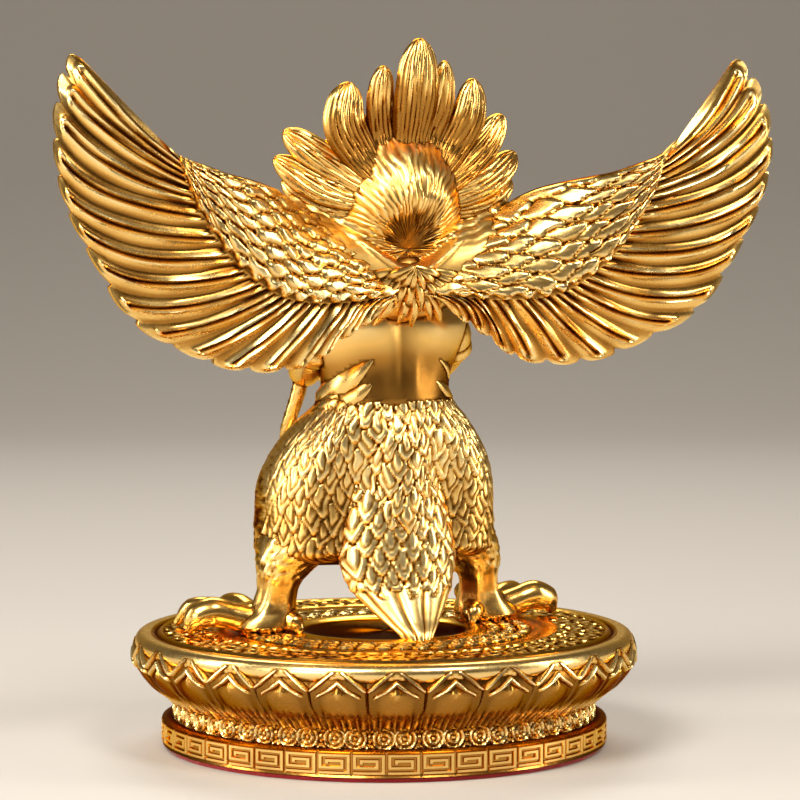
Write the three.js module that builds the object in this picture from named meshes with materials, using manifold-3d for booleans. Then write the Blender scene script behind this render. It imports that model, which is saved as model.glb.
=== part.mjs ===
// A garuda figure of gold-plated cast metal on its round lotus plinth, with a felt pad under it.
// Millimetres, +Z up. The figure looks along -Y and its left side is on +X.
// The origin is the centre of the pad's underside.
import * as THREE from 'three';
import Module from 'manifold-3d';

const wasm = await Module();
wasm.setup();

// Driving dimensions of the plinth, and of the pad as far as it differs
const BOWL_RADIUS = 63.5;
const BOWL_HEIGHT = 14;
const FOOT_INSET = 7.5;
const FOOT_HEIGHT = 6.8;
const FOOT_BEVEL = 0.7;
const BAND_INSET = 3;
const BAND_HEIGHT = 5.2;
const PAD_INSET = 1.5;
const PAD_THICKNESS = 1;
const LIP_INSET = 1.5;
const LIP_HEIGHT = 2.3;
const LIP_BEVEL = 2;
const PETAL_COUNT = 28;
const PETAL_DEPTH = 0.9;
const PETAL_DROOP = 2.2;
const BOWL_ROWS = 4;

// Sunk rings of the plate: the groove inside the rim, the smooth ring and the polished disc
const RIM_WIDTH = 1.2;
const RIM_GROOVE_WIDTH = 1.6;
const SMOOTH_RING_RADIUS = 43;
const SMOOTH_RING_WIDTH = 5;
const DISC_RADIUS = 20.5;
const PLATE_SINK = 0.6;

// Driving dimension of the figure, from the plate to the tip of the mane.
// All its other places and sizes are drawn to that height, and follow it.
const FIGURE_HEIGHT = 147.6;
const DRAWN_TOP = 147.6;
const UNIT = FIGURE_HEIGHT / DRAWN_TOP;

// The wing: stations from the shoulder to the tip, as pairs of sideways and upward places.
// A long feather leaves the row of coverts at its root, bends at its bow and ends at its tip.
const WING_FEATHERS = 16;
const WING_EDGE = [[1, 96], [6, 98], [12, 101], [19, 104.5], [26, 107], [34, 111.3], [42, 113.5], [50, 115],
  [56.5, 117], [61, 118.4], [63.5, 119.4]];
const FEATHER_ROOT = [[2, 85], [10, 84.5], [18, 83.7], [27, 83.7], [34.5, 84.7], [40.5, 87.2], [47, 91.7],
  [53, 98.2], [58.5, 106.2], [61.5, 113], [63.5, 118.2]];
const FEATHER_BOW = [[7, 84.5], [15.5, 83], [24, 76], [36, 74.2], [47.5, 74.7], [61, 77.7], [73, 85.7],
  [83, 97.7], [87.5, 110.7], [83, 122], [75, 126.5]];
const FEATHER_TIP = [[10, 80], [18, 75], [28.8, 67.9], [43, 67], [59, 71.2], [75, 80.8], [85.5, 96.2],
  [92, 109.7], [94.2, 123.7], [92, 136.7], [87, 144.7]];
const COVERT_ROWS = 4;
const COVERT_LIFT = 0.9;
const COVERT_SHIFT = 0.12;
const COVERT_STEP = { before: 0.02, after: 0.03 };
const RIB_LIFT = 0.8;
const RIB_ROWS = [1.2, 1.6];
const RIB_STOP = 0.06;
const TIP_NOTCH = 0.045;
const TIP_DROP = 0.3;
const WING_EDGE_THICKNESS = 2;
const WING_ROOT_THICKNESS = 5;

// The wing's depth behind the body's middle plane. It sweeps back from the shoulder outwards, is
// hollow to both sides of its crest line near the body, and its tip curls forward.
const WING_BACK = 29;
const SWEEP = { depth: 10, span: 58, power: 1.8 };
const CREST = { low: 83.7, rise: 35, start: 30, span: 33.5, power: 1.4 };
const CAMBER = { depth: 9, start: 28, fade: 16, reach: 20 };
const CURL = { depth: 7, start: 118.7, reach: 26 };
const SLOPE_REACH = 0.5;

// The head's furry ball, and the mane behind it: the tips of its locks from the crown to one side, the
// ring where the locks start, and how deep the gaps between the tips are as a share of a lock.
// A section runs from root to tip and back: share of the way, then height in ridges or thicknesses.
const HEAD_MIDDLE = [0, 14.5, 107.7];
const HEAD_BALL = [10.6, 11, 14];
const MANE_TIPS = [[0, 22.5, DRAWN_TOP], [8, 21.5, 140], [15.4, 19.5, 135.4], [21.5, 15.5, 127.5],
  [30.6, 9, 124.4], [32.4, 9, 117.2], [27.5, 9.5, 106.5], [19, 12.5, 98.5]];
const MANE_ROOT_RADIUS = 8.5;
const MANE_ROOT_BACK = 8;
const MANE_GAP = 0.2;
const MANE_RIDGE = 1.6;
const MANE_THICKNESS = 3;
const LOCK_COLUMNS = 4;
const MANE_FRONT = [[0, 0], [0.5, 1], [0.88, 0.8]];
const MANE_REAR = [[1, 0.4], [0.6, 1], [0, 1]];

// The neck's middle line and half widths
const NECK = [[0, 3, 76], [0, 7, 90], [0, 8, 104]];
const NECK_HALF = [15, 12, 9.5];

// The swelling of the nape between the wings, and the short feathers that hang from it over the back
const NAPE_MIDDLE = [0, 8, 90];
const NAPE_BALL = [18, 11, 14];
const COLLAR_SIDE_FEATHERS = 2;
const COLLAR_STEP = 4.4;
const COLLAR_TOP = 89;
const COLLAR_DROP = 10.5;
const COLLAR_BACK = 19.2;
const COLLAR_ROUND = 0.1;
const COLLAR_HALF = [2.2, 2.9, 0.8];
const COLLAR_SPREAD = [0.8, 1, 1.15];
const COLLAR_TUCK = [1.5, 0, 3.4];
const COLLAR_FLAT = 0.8;

// The bell of feathers over hips and thighs, and the body above it
const SKIRT_TOP = 58.5;
const SKIRT_FLOOR = 16.5;
const SKIRT_HEM = 1;
const SKIRT_ROWS = 4;
const SKIRT_SCALES = 13;
const SKIRT_LIFT = 0.9;
const SKIRT_POINT = 0.9;
const SCALE_SHARE = 0.82;
const SKIRT_FLARE = 26;
const SKIRT_TUCK = { level: 24, reach: 8, least: 0.08 };
const HIP = { side: 5, forward: 0, halfWidth: 11, halfDepth: 10 };
const THIGH = { side: 17.8, forward: 6.8, halfWidth: 13, halfDepth: 16 };
const BELLY = { halfWidth: 14.5, halfDepth: 11 };
const WAIST = { back: 0.5, halfWidth: 16.5, halfDepth: 12.5, level: 64 };
const CHEST = { halfWidth: 19, halfDepth: 12.5, level: 78 };
const SHOULDER = { level: 80, shrink: 0.86 };
const BLEND = 3;
const TORSO_STEPS = 3;

// The tail: middle line as back and up, with its half width and half depth
const TAIL = [
  { at: [4, 50], half: [11, 9.4] },
  { at: [5.5, 34], half: [14.5, 9.6] },
  { at: [6.6, 22], half: [16, 8.6] },
  { at: [9.6, 13], half: [14, 7] },
  { at: [13, 9], half: [11, 5.4] },
  { at: [17, 5], half: [7.6, 4] },
  { at: [20.6, 1.8], half: [4.6, 3] },
  { at: [22, -0.6], half: [3, 2.4] },
];
const TAIL_SIDES = 10;

// Legs and toes: middle lines from the thigh to the foot, and from the foot to each claw
const SHANK = [[24.5, -3, 22], [26.9, -2.6, 14], [28.3, -5, 8], [29, -7, 3.5]];
const SHANK_HALF = [6, 4.4, 4.6, 5.2];
const TOES = [
  [[30, -6, 4.4], [36.5, -6.4, 5.2], [43.5, -7.2, 5.6], [49.3, -8, 0.8]],
  [[30, -8, 4], [36.5, -13.5, 4.8], [43, -18.5, 4.6], [47.6, -22, 0.8]],
  [[29, -9, 4], [30.8, -16.5, 4.8], [32.2, -23.5, 4.4], [33.2, -29, 0.8]],
  [[28.5, -6, 4], [26, -3.2, 4.4], [23.4, -0.5, 3.4], [21.5, 2, 0.8]],
];
const TOE_HALF = [3.8, 3.3, 3.4, 1.2];

// Arms, and the snake that the hands hold up to the beak
const ARM = [[13, 4, 80], [17.8, 0.5, 73], [17.6, -9, 65.5], [14.5, -17, 65], [10.5, -21.5, 68]];
const ARM_HALF = [5.4, 5, 4.2, 3.4, 3];
const HAND = [[10.5, -21.5, 66], [9.6, -24, 70]];
const HAND_HALF = [3.4, 3.4];
const SNAKE = [[-3, -14, 96], [-9, -20, 86], [-11, -24, 75], [-9.6, -24.5, 68], [-2, -22, 60], [6, -23, 62],
  [10.5, -24.5, 70], [14, -20, 74], [17, -11, 70], [18.5, -11.5, 60], [20.5, -15, 50], [19, -21, 44]];
const SNAKE_HALF = [2, 2.2, 2.3, 2.3, 2.3, 2.3, 2.3, 2.2, 2, 1.9, 1.6, 0.8];

// The face, a plain hooked beak under strong brows, which the photo doesn't show
const FACE_MIDDLE = [0, 6, 105];
const FACE_BALL = [11.5, 12.5, 12.5];
const BEAK = [[0, -3, 104], [0, -11, 103], [0, -16, 99], [0, -16.6, 94]];
const BEAK_HALF = [6.4, 4.8, 3, 0.8];
const BROW = [[2.5, -5.5, 110], [6.5, -5.4, 111.4], [10.4, -1, 111.6]];
const BROW_HALF = [1.6, 1.9, 1.1];
const EYE = [5.6, -5.2, 107];
const EYE_RADII = [2, 2, 2];

// Two folds on each flank, above the feathers
const FLANK_FOLDS = [
  [[9.5, 11, 68.5], [13.4, 8, 65], [16.6, 2.5, 61]],
  [[9, 11.4, 63.5], [12.8, 8.6, 60.5], [16, 3.4, 58]],
];
const FOLD_HALF = [0.6, 1.5, 0.7];

const { PI, cos, sin, exp, max, min } = Math;
const TURN = 2 * PI;
const BOWL_TURN = { start: 0.02 * PI, end: 0.64 * PI };
const ROUND_SIDES = 30;
const BALL_END = 0.06;
const PETAL_COLUMNS = 3;
const DROOP_POWER = 4;

// Radii and levels that follow from the plinth's own sizes
const FOOT_RADIUS = BOWL_RADIUS - FOOT_INSET;
const BAND_RADIUS = FOOT_RADIUS - BAND_INSET;
const PAD_RADIUS = FOOT_RADIUS - PAD_INSET;
const LIP_RADIUS = BOWL_RADIUS - LIP_INSET;
const PLATE_RADIUS = LIP_RADIUS - LIP_BEVEL;
const BAND_BOTTOM = PAD_THICKNESS + FOOT_HEIGHT;
const BOWL_BOTTOM = BAND_BOTTOM + BAND_HEIGHT;
const LIP_BOTTOM = BOWL_BOTTOM + BOWL_HEIGHT;
const PLATE_LEVEL = LIP_BOTTOM + LIP_HEIGHT;

// A closed solid from a mesh given as points and triangles, turned so that its faces point out
function solidOf(points, triangles) {
  let volume = 0;
  for (const [a, b, c] of triangles) {
    volume += points[a].dot(new THREE.Vector3().crossVectors(points[b], points[c]));
  }
  const corners = volume < 0 ? triangles.map(([a, b, c]) => [a, c, b]) : triangles;
  const vertProperties = new Float32Array(points.flatMap((p) => [p.x, p.y, p.z]));
  const triVerts = new Uint32Array(corners.flat());
  return new wasm.Manifold(new wasm.Mesh({ numProp: 3, vertProperties, triVerts }));
}

// A solid through closed rings with the same number of points, with a fan at each end
function loft(rings) {
  const size = rings[0].length;
  const points = rings.flat();
  const triangles = [];
  for (let i = 0; i + 1 < rings.length; i += 1) {
    for (let j = 0; j < size; j += 1) {
      const k = (j + 1) % size;
      const [a, b, c, d] = [i * size + j, i * size + k, (i + 1) * size + k, (i + 1) * size + j];
      triangles.push([a, b, c], [a, c, d]);
    }
  }
  for (const [start, flip] of [[0, false], [(rings.length - 1) * size, true]]) {
    const hub = points.length;
    const middle = new THREE.Vector3();
    for (let j = 0; j < size; j += 1) middle.addScaledVector(points[start + j], 1 / size);
    points.push(middle);
    for (let j = 0; j < size; j += 1) {
      const k = (j + 1) % size;
      triangles.push(flip ? [hub, start + j, start + k] : [hub, start + k, start + j]);
    }
  }
  return solidOf(points, triangles);
}

// A place in the figure's drawing, mirrored for side -1
function drawn([x, y, z], side = 1) {
  return new THREE.Vector3(side * x * UNIT, y * UNIT, z * UNIT);
}

// A smooth curve through points
function spline(points) {
  return new THREE.CatmullRomCurve3(points, false, 'catmullrom', 0.5);
}

// A value read from a short list at a share of its length, in straight steps
function readAt(list, share) {
  const place = min(max(share, 0), 1) * (list.length - 1);
  const low = min(Math.floor(place), list.length - 2);
  return list[low] + (list[low + 1] - list[low]) * (place - low);
}

// A limb: rings across a smooth middle line. Halves are the half widths along it in drawn units,
// flat is the share of the half width that is the half depth, towards the given direction.
function limb(points, halves, { sides = 8, steps = 6, flat = 1, towards = [0, 1, 0.01] } = {}) {
  const line = spline(points);
  const rings = [];
  for (let i = 0; i <= steps; i += 1) {
    const share = i / steps;
    const middle = line.getPoint(share);
    const along = line.getTangent(share);
    const wide = new THREE.Vector3().crossVectors(along, new THREE.Vector3(...towards)).normalize();
    const deep = new THREE.Vector3().crossVectors(wide, along);
    const half = readAt(halves, share) * UNIT;
    const ring = [];
    for (let j = 0; j < sides; j += 1) {
      const angle = (TURN * j) / sides;
      const place = middle.clone().addScaledVector(wide, half * cos(angle));
      ring.push(place.addScaledVector(deep, half * flat * sin(angle)));
    }
    rings.push(ring);
  }
  return loft(rings);
}

// An egg shape around a middle, from rings between its two blunt ends
function ball(middle, radii, { sides = 12, steps = 6 } = {}) {
  const rings = [];
  for (let i = 0; i <= steps; i += 1) {
    const rise = PI * (BALL_END + ((1 - 2 * BALL_END) * i) / steps);
    const ring = [];
    for (let j = 0; j < sides; j += 1) {
      const angle = (TURN * j) / sides;
      const round = [sin(rise) * cos(angle), sin(rise) * sin(angle), -cos(rise)];
      ring.push(drawn(middle.map((value, axis) => value + radii[axis] * round[axis])));
    }
    rings.push(ring);
  }
  return loft(rings);
}

// How far back the wing's surface lies at a sideways and an upward place, in drawn units
function wingDepth(x, h) {
  const sweep = SWEEP.depth * (1 - min(x, SWEEP.span) / SWEEP.span) ** SWEEP.power;
  const crest = CREST.low + CREST.rise * min(max(0, (x - CREST.start) / CREST.span), 1) ** CREST.power;
  const camber = CAMBER.depth * exp((CAMBER.start - x) / CAMBER.fade) * ((h - crest) / CAMBER.reach) ** 2;
  const curl = CURL.depth * (max(0, h - CURL.start) / CURL.reach) ** 2;
  return WING_BACK - sweep - camber - curl;
}

const wingCurves = [WING_EDGE, FEATHER_ROOT, FEATHER_BOW, FEATHER_TIP].map((stations) =>
  spline(stations.map(([x, h]) => new THREE.Vector3(x, 0, h))));

// A place on the wing's back: across runs from shoulder to tip, along runs 0 to 1 over the coverts and
// 1 to 2 over the long feathers; lift is the height above the surface, and negative lift goes inwards.
function onWing(across, along, lift) {
  const [edge, root, bow, tip] = wingCurves.map((curve) => curve.getPoint(across));
  const place = new THREE.Vector3();
  if (along <= 1) {
    place.lerpVectors(edge, root, along);
  } else {
    const s = along - 1;
    place.addScaledVector(root, (1 - s) * (1 - s));
    place.addScaledVector(bow, 2 * s * (1 - s)).addScaledVector(tip, s * s);
  }
  const { x, z } = place;
  const riseX = wingDepth(x + SLOPE_REACH, z) - wingDepth(x - SLOPE_REACH, z);
  const riseZ = wingDepth(x, z + SLOPE_REACH) - wingDepth(x, z - SLOPE_REACH);
  const outward = new THREE.Vector3(-riseX, 2 * SLOPE_REACH, -riseZ).normalize();
  return new THREE.Vector3(x, wingDepth(x, z), z).addScaledVector(outward, lift);
}

// One wing: a ring around the blade for every column, with a valley and a rib to each feather
function wing(side) {
  const columns = WING_FEATHERS * 2;
  const rings = [];
  for (let i = 0; i <= columns; i += 1) {
    const across = i / columns;
    const crest = i % 2;
    const thick = WING_EDGE_THICKNESS + (WING_ROOT_THICKNESS - WING_EDGE_THICKNESS) * (1 - across) ** 2;
    const end = 2 - (crest ? 0 : 2 * TIP_NOTCH);
    const places = [[0, 0]];
    for (let row = 1; row <= COVERT_ROWS; row += 1) {
      const shift = (i + row) % 2 ? COVERT_SHIFT : -COVERT_SHIFT;
      const rowEnd = (row + shift) / COVERT_ROWS;
      places.push([rowEnd - COVERT_STEP.before, COVERT_LIFT], [rowEnd + COVERT_STEP.after, 0]);
    }
    const rib = crest * RIB_LIFT;
    for (const along of [...RIB_ROWS, end - RIB_STOP]) places.push([along, rib]);
    places.push([end, -TIP_DROP * thick], [RIB_ROWS[0], -thick], [COVERT_STEP.after, -thick]);
    rings.push(places.map(([along, lift]) => {
      const place = onWing(across, along, lift);
      return drawn([place.x, place.y, place.z], side);
    }));
  }
  return loft(rings);
}

// The mane: one fan of locks, with a ring around it at every quarter of a lock
function mane() {
  const locks = MANE_TIPS.length - 1;
  const mirrored = MANE_TIPS.slice(1).reverse().map(([x, y, h]) => [-x, y, h]);
  const tips = spline(mirrored.concat(MANE_TIPS).map((place) => new THREE.Vector3(...place)));
  const columns = 2 * locks * LOCK_COLUMNS;
  const rings = [];
  for (let i = 0; i <= columns; i += 1) {
    const fromTip = (2 * min(i % LOCK_COLUMNS, LOCK_COLUMNS - (i % LOCK_COLUMNS))) / LOCK_COLUMNS;
    const tip = tips.getPoint(i / columns);
    const spread = new THREE.Vector3(tip.x, 0, tip.z - HEAD_MIDDLE[2]).normalize();
    const root = new THREE.Vector3(0, MANE_ROOT_BACK, HEAD_MIDDLE[2]);
    root.addScaledVector(spread, MANE_ROOT_RADIUS);
    const reach = 1 - MANE_GAP * fromTip ** 2;
    const section = (rows, height) => rows.map(([share, part]) => {
      const place = root.clone().lerp(tip, share * reach);
      place.y = root.y + (tip.y - root.y) * (1 - (1 - share * reach) ** 2) + part * height;
      return drawn(place.toArray());
    });
    const ridge = MANE_RIDGE * (1 - fromTip);
    rings.push([...section(MANE_FRONT, ridge), ...section(MANE_REAR, -MANE_THICKNESS)]);
  }
  return loft(rings);
}

// The body's outline at one level, as ellipses that melt together
function bodyShapes(level) {
  const drop = min(max((SKIRT_TOP - level) / SKIRT_FLARE, 0), 1);
  const flare = 1 - (1 - drop) ** 2;
  const below = max(0, SKIRT_TUCK.level - level) / SKIRT_TUCK.reach;
  const tuck = Math.sqrt(max(SKIRT_TUCK.least, 1 - below ** 2));
  const rise = min(max((level - WAIST.level) / (CHEST.level - WAIST.level), 0), 1);
  const between = (low, high, share, key) => low[key] + (high[key] - low[key]) * share;
  const trunk = (key) => between(WAIST, CHEST, rise, key) + between(WAIST, BELLY, flare, key) - WAIST[key];
  const shapes = [{ x: 0, y: WAIST.back, a: trunk('halfWidth') * tuck, b: trunk('halfDepth') * tuck }];
  if (drop > 0) {
    const leg = (key) => between(HIP, THIGH, flare, key) * tuck;
    const forward = between(HIP, THIGH, drop, 'forward');
    const out = between(HIP, THIGH, flare, 'side');
    for (const x of [-out, out]) shapes.push({ x, y: -forward, a: leg('halfWidth'), b: leg('halfDepth') });
  }
  return shapes;
}

// How far the body reaches from its axis at a level and an angle, found by halving
function bodyReach(level, angle) {
  const shapes = bodyShapes(level);
  const total = (r) => shapes.reduce((sum, { x, y, a, b }) => {
    const inside = ((r * cos(angle) - x) / a) ** 2 + ((r * sin(angle) - y) / b) ** 2;
    return sum + exp(BLEND * (1 - inside));
  }, 0);
  let [near, far] = [0, 60];
  for (let i = 0; i < 24; i += 1) {
    const half = (near + far) / 2;
    if (total(half) > 1) near = half;
    else far = half;
  }
  return near;
}

// The body from the bottom of the skirt to the neck, with rows of overlapping scales on the skirt
function body() {
  const columns = SKIRT_SCALES * 2;
  const levels = [{ level: SKIRT_FLOOR, lift: 0 }];
  const hem = SKIRT_FLOOR + SKIRT_HEM;
  const rowHeight = (SKIRT_TOP - hem) / SKIRT_ROWS;
  for (let row = 0; row < SKIRT_ROWS; row += 1) {
    const bottom = hem + row * rowHeight;
    levels.push({ level: bottom, lift: SKIRT_LIFT, row });
    levels.push({ level: bottom + SCALE_SHARE * rowHeight, lift: 0, row });
  }
  const torso = SHOULDER.level - SKIRT_TOP;
  for (let i = 0; i <= TORSO_STEPS; i += 1) {
    levels.push({ level: SKIRT_TOP + (torso * i) / TORSO_STEPS, lift: 0 });
  }
  const rings = levels.map(({ level, lift, row }) => {
    const ring = [];
    for (let j = 0; j < columns; j += 1) {
      const angle = (TURN * j) / columns;
      const point = row === undefined ? 0 : SKIRT_POINT * ((j + row) % 2 ? -1 : 1);
      const shrink = level < SHOULDER.level ? 1 : SHOULDER.shrink;
      const reach = bodyReach(level, angle) * shrink + lift;
      ring.push(drawn([reach * cos(angle), reach * sin(angle), level + point]));
    }
    return ring;
  });
  return loft(rings);
}

// One hanging feather of the collar, counted from the middle to either side
function collarFeather(i) {
  const x = COLLAR_STEP * i;
  const back = COLLAR_BACK - COLLAR_ROUND * i * i;
  const places = COLLAR_SPREAD.map((spread, row) =>
    [x * spread, back - COLLAR_TUCK[row], COLLAR_TOP - 0.5 * row * COLLAR_DROP]);
  return limb(points(places), COLLAR_HALF, { sides: 5, steps: 2, flat: COLLAR_FLAT });
}

// The tail: flat rings from under the skirt to the tip on the plate, rounded behind
function tail() {
  const rings = TAIL.map(({ at: [back, up], half: [wide, deep] }) => {
    const ring = [];
    for (let j = 0; j < TAIL_SIDES; j += 1) {
      const angle = (TURN * j) / TAIL_SIDES;
      ring.push(drawn([wide * cos(angle), back + deep * sin(angle), up]));
    }
    return ring;
  });
  return loft(rings);
}

// The same solid on the left and on the right
function sidePair(makeOne) {
  return [makeOne(1), makeOne(-1)];
}

// A list of drawn places, mirrored for side -1
function points(list, side = 1) {
  return list.map((place) => drawn(place, side));
}

// The plate's plane cuts the soles and the tail's tip flat, so that they stand on it
function figure() {
  const solids = [
    body(), tail(), limb(points(NECK), NECK_HALF), mane(), ball(HEAD_MIDDLE, HEAD_BALL),
    ball(FACE_MIDDLE, FACE_BALL, { sides: 10, steps: 5 }),
    ball(NAPE_MIDDLE, NAPE_BALL, { sides: 10, steps: 5 }),
    limb(points(BEAK), BEAK_HALF, { sides: 7, steps: 4, towards: [0, 1, 0.3] }),
    limb(points(SNAKE), SNAKE_HALF, { sides: 5, steps: 17, towards: [0.1, 1, 0.05] }),
    ...sidePair(wing),
    ...sidePair((side) => limb(points(ARM, side), ARM_HALF, { sides: 7, steps: 5 })),
    ...sidePair((side) => limb(points(HAND, side), HAND_HALF, { sides: 6, steps: 2 })),
    ...sidePair((side) => limb(points(SHANK, side), SHANK_HALF, { sides: 7, steps: 4 })),
    ...sidePair((side) => limb(points(BROW, side), BROW_HALF, { sides: 4, steps: 2 })),
    ...sidePair((side) => ball([side * EYE[0], EYE[1], EYE[2]], EYE_RADII, { sides: 6, steps: 3 })),
  ];
  for (const toe of TOES) {
    solids.push(...sidePair((side) => limb(points(toe, side), TOE_HALF, { sides: 5, steps: 3 })));
  }
  for (const fold of FLANK_FOLDS) {
    solids.push(...sidePair((side) => limb(points(fold, side), FOLD_HALF, { sides: 4, steps: 2 })));
  }
  for (let i = -COLLAR_SIDE_FEATHERS; i <= COLLAR_SIDE_FEATHERS; i += 1) {
    solids.push(collarFeather(i));
  }
  const whole = wasm.Manifold.union(solids);
  return whole.trimByPlane([0, 0, 1], 0);
}

// A turned solid whose profile starts and ends on the axis
function turned(pairs, segments) {
  return loft(pairs.slice(1, -1).map(([radius, level]) => {
    const ring = [];
    for (let j = 0; j < segments; j += 1) {
      const angle = (TURN * j) / segments;
      ring.push(new THREE.Vector3(radius * cos(angle), radius * sin(angle), level));
    }
    return ring;
  }));
}

// The lotus bowl: a swelling ring of petals with pointed tips
function bowl() {
  const columns = PETAL_COUNT * PETAL_COLUMNS;
  const swell = BOWL_RADIUS - BAND_RADIUS;
  const rings = [];
  for (let i = 0; i <= BOWL_ROWS; i += 1) {
    const share = i / BOWL_ROWS;
    const turn = BOWL_TURN.start + (BOWL_TURN.end - BOWL_TURN.start) * share;
    const radius = BAND_RADIUS + swell * sin(turn);
    const level = BOWL_BOTTOM + (BOWL_HEIGHT * (1 - cos(turn))) / (1 - cos(BOWL_TURN.end));
    const ring = [];
    for (let j = 0; j < columns; j += 1) {
      const angle = (TURN * j) / columns;
      const valley = j % PETAL_COLUMNS === 0 ? 0 : 1;
      const reach = radius - valley * PETAL_DEPTH * share;
      const droop = valley * PETAL_DROOP * share ** DROOP_POWER;
      ring.push(new THREE.Vector3(reach * cos(angle), reach * sin(angle), level - droop));
    }
    rings.push(ring);
  }
  return loft(rings);
}

// The plinth: the foot and its band, the lotus bowl, and the rim with the plate
function plinth() {
  const sunk = PLATE_LEVEL - PLATE_SINK;
  const ledge = BAND_BOTTOM + FOOT_BEVEL;
  const inside = BOWL_BOTTOM + BOWL_HEIGHT / BOWL_ROWS;
  const foot = turned([[0, PAD_THICKNESS], [FOOT_RADIUS - FOOT_BEVEL, PAD_THICKNESS],
    [FOOT_RADIUS, PAD_THICKNESS + FOOT_BEVEL], [FOOT_RADIUS, BAND_BOTTOM - FOOT_BEVEL],
    [FOOT_RADIUS - FOOT_BEVEL, BAND_BOTTOM], [BAND_RADIUS, ledge], [BAND_RADIUS, inside],
    [0, inside]], ROUND_SIDES);
  const groove = PLATE_RADIUS - RIM_WIDTH;
  const slope = PLATE_SINK / 2;
  const ringInner = SMOOTH_RING_RADIUS - SMOOTH_RING_WIDTH;
  const top = turned([[0, inside], [BAND_RADIUS, inside], [LIP_RADIUS, LIP_BOTTOM],
    [LIP_RADIUS, PLATE_LEVEL - 0.5 * LIP_HEIGHT], [PLATE_RADIUS, PLATE_LEVEL],
    [groove, PLATE_LEVEL], [groove - RIM_GROOVE_WIDTH / 2, sunk], [groove - RIM_GROOVE_WIDTH, PLATE_LEVEL],
    [SMOOTH_RING_RADIUS, PLATE_LEVEL], [SMOOTH_RING_RADIUS - slope, sunk], [ringInner + slope, sunk],
    [ringInner, PLATE_LEVEL], [DISC_RADIUS, PLATE_LEVEL], [DISC_RADIUS - slope, sunk],
    [0, sunk]], ROUND_SIDES);
  return wasm.Manifold.union([foot, bowl(), top]);
}

// The felt under the foot
function pad() {
  return turned([[0, 0], [PAD_RADIUS, 0], [PAD_RADIUS, PAD_THICKNESS], [0, PAD_THICKNESS]], ROUND_SIDES);
}

// A named mesh with a solid's own triangles
function meshOf(name, solid, material) {
  const { vertProperties, triVerts } = solid.getMesh();
  const geometry = new THREE.BufferGeometry();
  geometry.setAttribute('position', new THREE.BufferAttribute(new Float32Array(vertProperties), 3));
  geometry.setIndex(new THREE.BufferAttribute(new Uint32Array(triVerts), 1));
  geometry.computeVertexNormals();
  const mesh = new THREE.Mesh(geometry, material);
  mesh.name = name;
  return mesh;
}

const gold = new THREE.MeshStandardMaterial({ color: 0xd9a441, metalness: 1, roughness: 0.22 });
const redFelt = new THREE.MeshStandardMaterial({ color: 0x9c1420, metalness: 0, roughness: 0.95 });

const garuda = new THREE.Group();
const standing = new THREE.Group();
standing.position.z = PLATE_LEVEL;
standing.add(meshOf('garuda_figure', figure(), gold));
garuda.add(standing);
garuda.add(meshOf('lotus_plinth', plinth(), gold));
garuda.add(meshOf('felt_pad', pad(), redFelt));

export default garuda;
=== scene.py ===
"""A garuda figure of gold-plated cast metal on its round lotus plinth, with red felt under it.

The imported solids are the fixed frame, and every piece takes its size and place from them.
Shapes are worked out in the figure's drawing: millimetres of a figure 147.6 mm tall, with x to
its own left, y to its back and h up from the plate. fused() turns such places into metres.
"""
import logging
from dataclasses import dataclass
from enum import IntEnum

import bpy
import numpy as np
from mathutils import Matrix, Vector
from numpy.typing import NDArray


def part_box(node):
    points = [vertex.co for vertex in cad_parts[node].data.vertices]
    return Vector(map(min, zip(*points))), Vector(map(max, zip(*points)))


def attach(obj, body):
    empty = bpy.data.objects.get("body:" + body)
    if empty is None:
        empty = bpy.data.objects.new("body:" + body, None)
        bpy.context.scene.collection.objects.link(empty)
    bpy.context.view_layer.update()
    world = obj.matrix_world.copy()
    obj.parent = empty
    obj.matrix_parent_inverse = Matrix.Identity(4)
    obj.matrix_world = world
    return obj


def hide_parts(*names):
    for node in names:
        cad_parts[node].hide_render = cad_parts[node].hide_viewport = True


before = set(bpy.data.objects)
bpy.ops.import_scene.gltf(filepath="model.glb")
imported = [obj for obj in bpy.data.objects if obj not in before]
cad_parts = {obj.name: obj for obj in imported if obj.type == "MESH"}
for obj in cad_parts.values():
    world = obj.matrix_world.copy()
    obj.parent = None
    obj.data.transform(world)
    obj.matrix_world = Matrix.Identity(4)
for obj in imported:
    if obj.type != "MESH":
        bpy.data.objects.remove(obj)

log = logging.getLogger("garuda")
Array = NDArray[np.float64]
Place = tuple[float, float, float]
Stations = tuple[tuple[float, ...], ...]
Inputs = dict[str | int, bpy.types.NodeSocket | float | tuple[float, ...]]
TURN = 2 * np.pi
BACK, FRONT = np.pi / 2, -np.pi / 2
DRAWN_HEIGHT = 147.6


class Side(IntEnum):
    """The figure's own left and right, as the sign of x there."""

    LEFT = 1
    RIGHT = -1


def smooth_curve(stations: Stations | Array, shares: Array) -> Array:
    """A smooth curve through stations, read at shares of its length.

    Between two stations it is the cubic that passes both and has there the slope from the
    station before to the one after (Catmull-Rom); the ends go on straight.

    Args:
        stations: the points, one a row.
        shares: places along the curve from 0 to 1, of any shape.

    Returns:
        The points, with one more axis than shares.
    """
    points = np.asarray(stations, float)
    padded = np.vstack([2 * points[0] - points[1], points, 2 * points[-1] - points[-2]])
    place = np.clip(shares, 0, 1) * (len(points) - 1)
    low = np.minimum(place.astype(int), len(points) - 2)
    w = (place - low)[..., None]
    a, b, c, d = (padded[low + i] for i in range(4))
    return b + 0.5 * w * (c - a + w * (2 * a - 5 * b + 4 * c - d + w * (3 * (b - c) + d - a)))


def quadratic(start: Array, bow: Array, end: Array, s: Array) -> Array:
    """Points at shares s of the quadratic curve from start to end that bends towards bow."""
    return start * (1 - s) ** 2 + bow * 2 * s * (1 - s) + end * s**2


def lengths(x: Array, y: Array) -> Array:
    """How far along a line through points each of them lies."""
    return np.concatenate([[0], np.cumsum(np.hypot(np.diff(x), np.diff(y)))])


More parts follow.
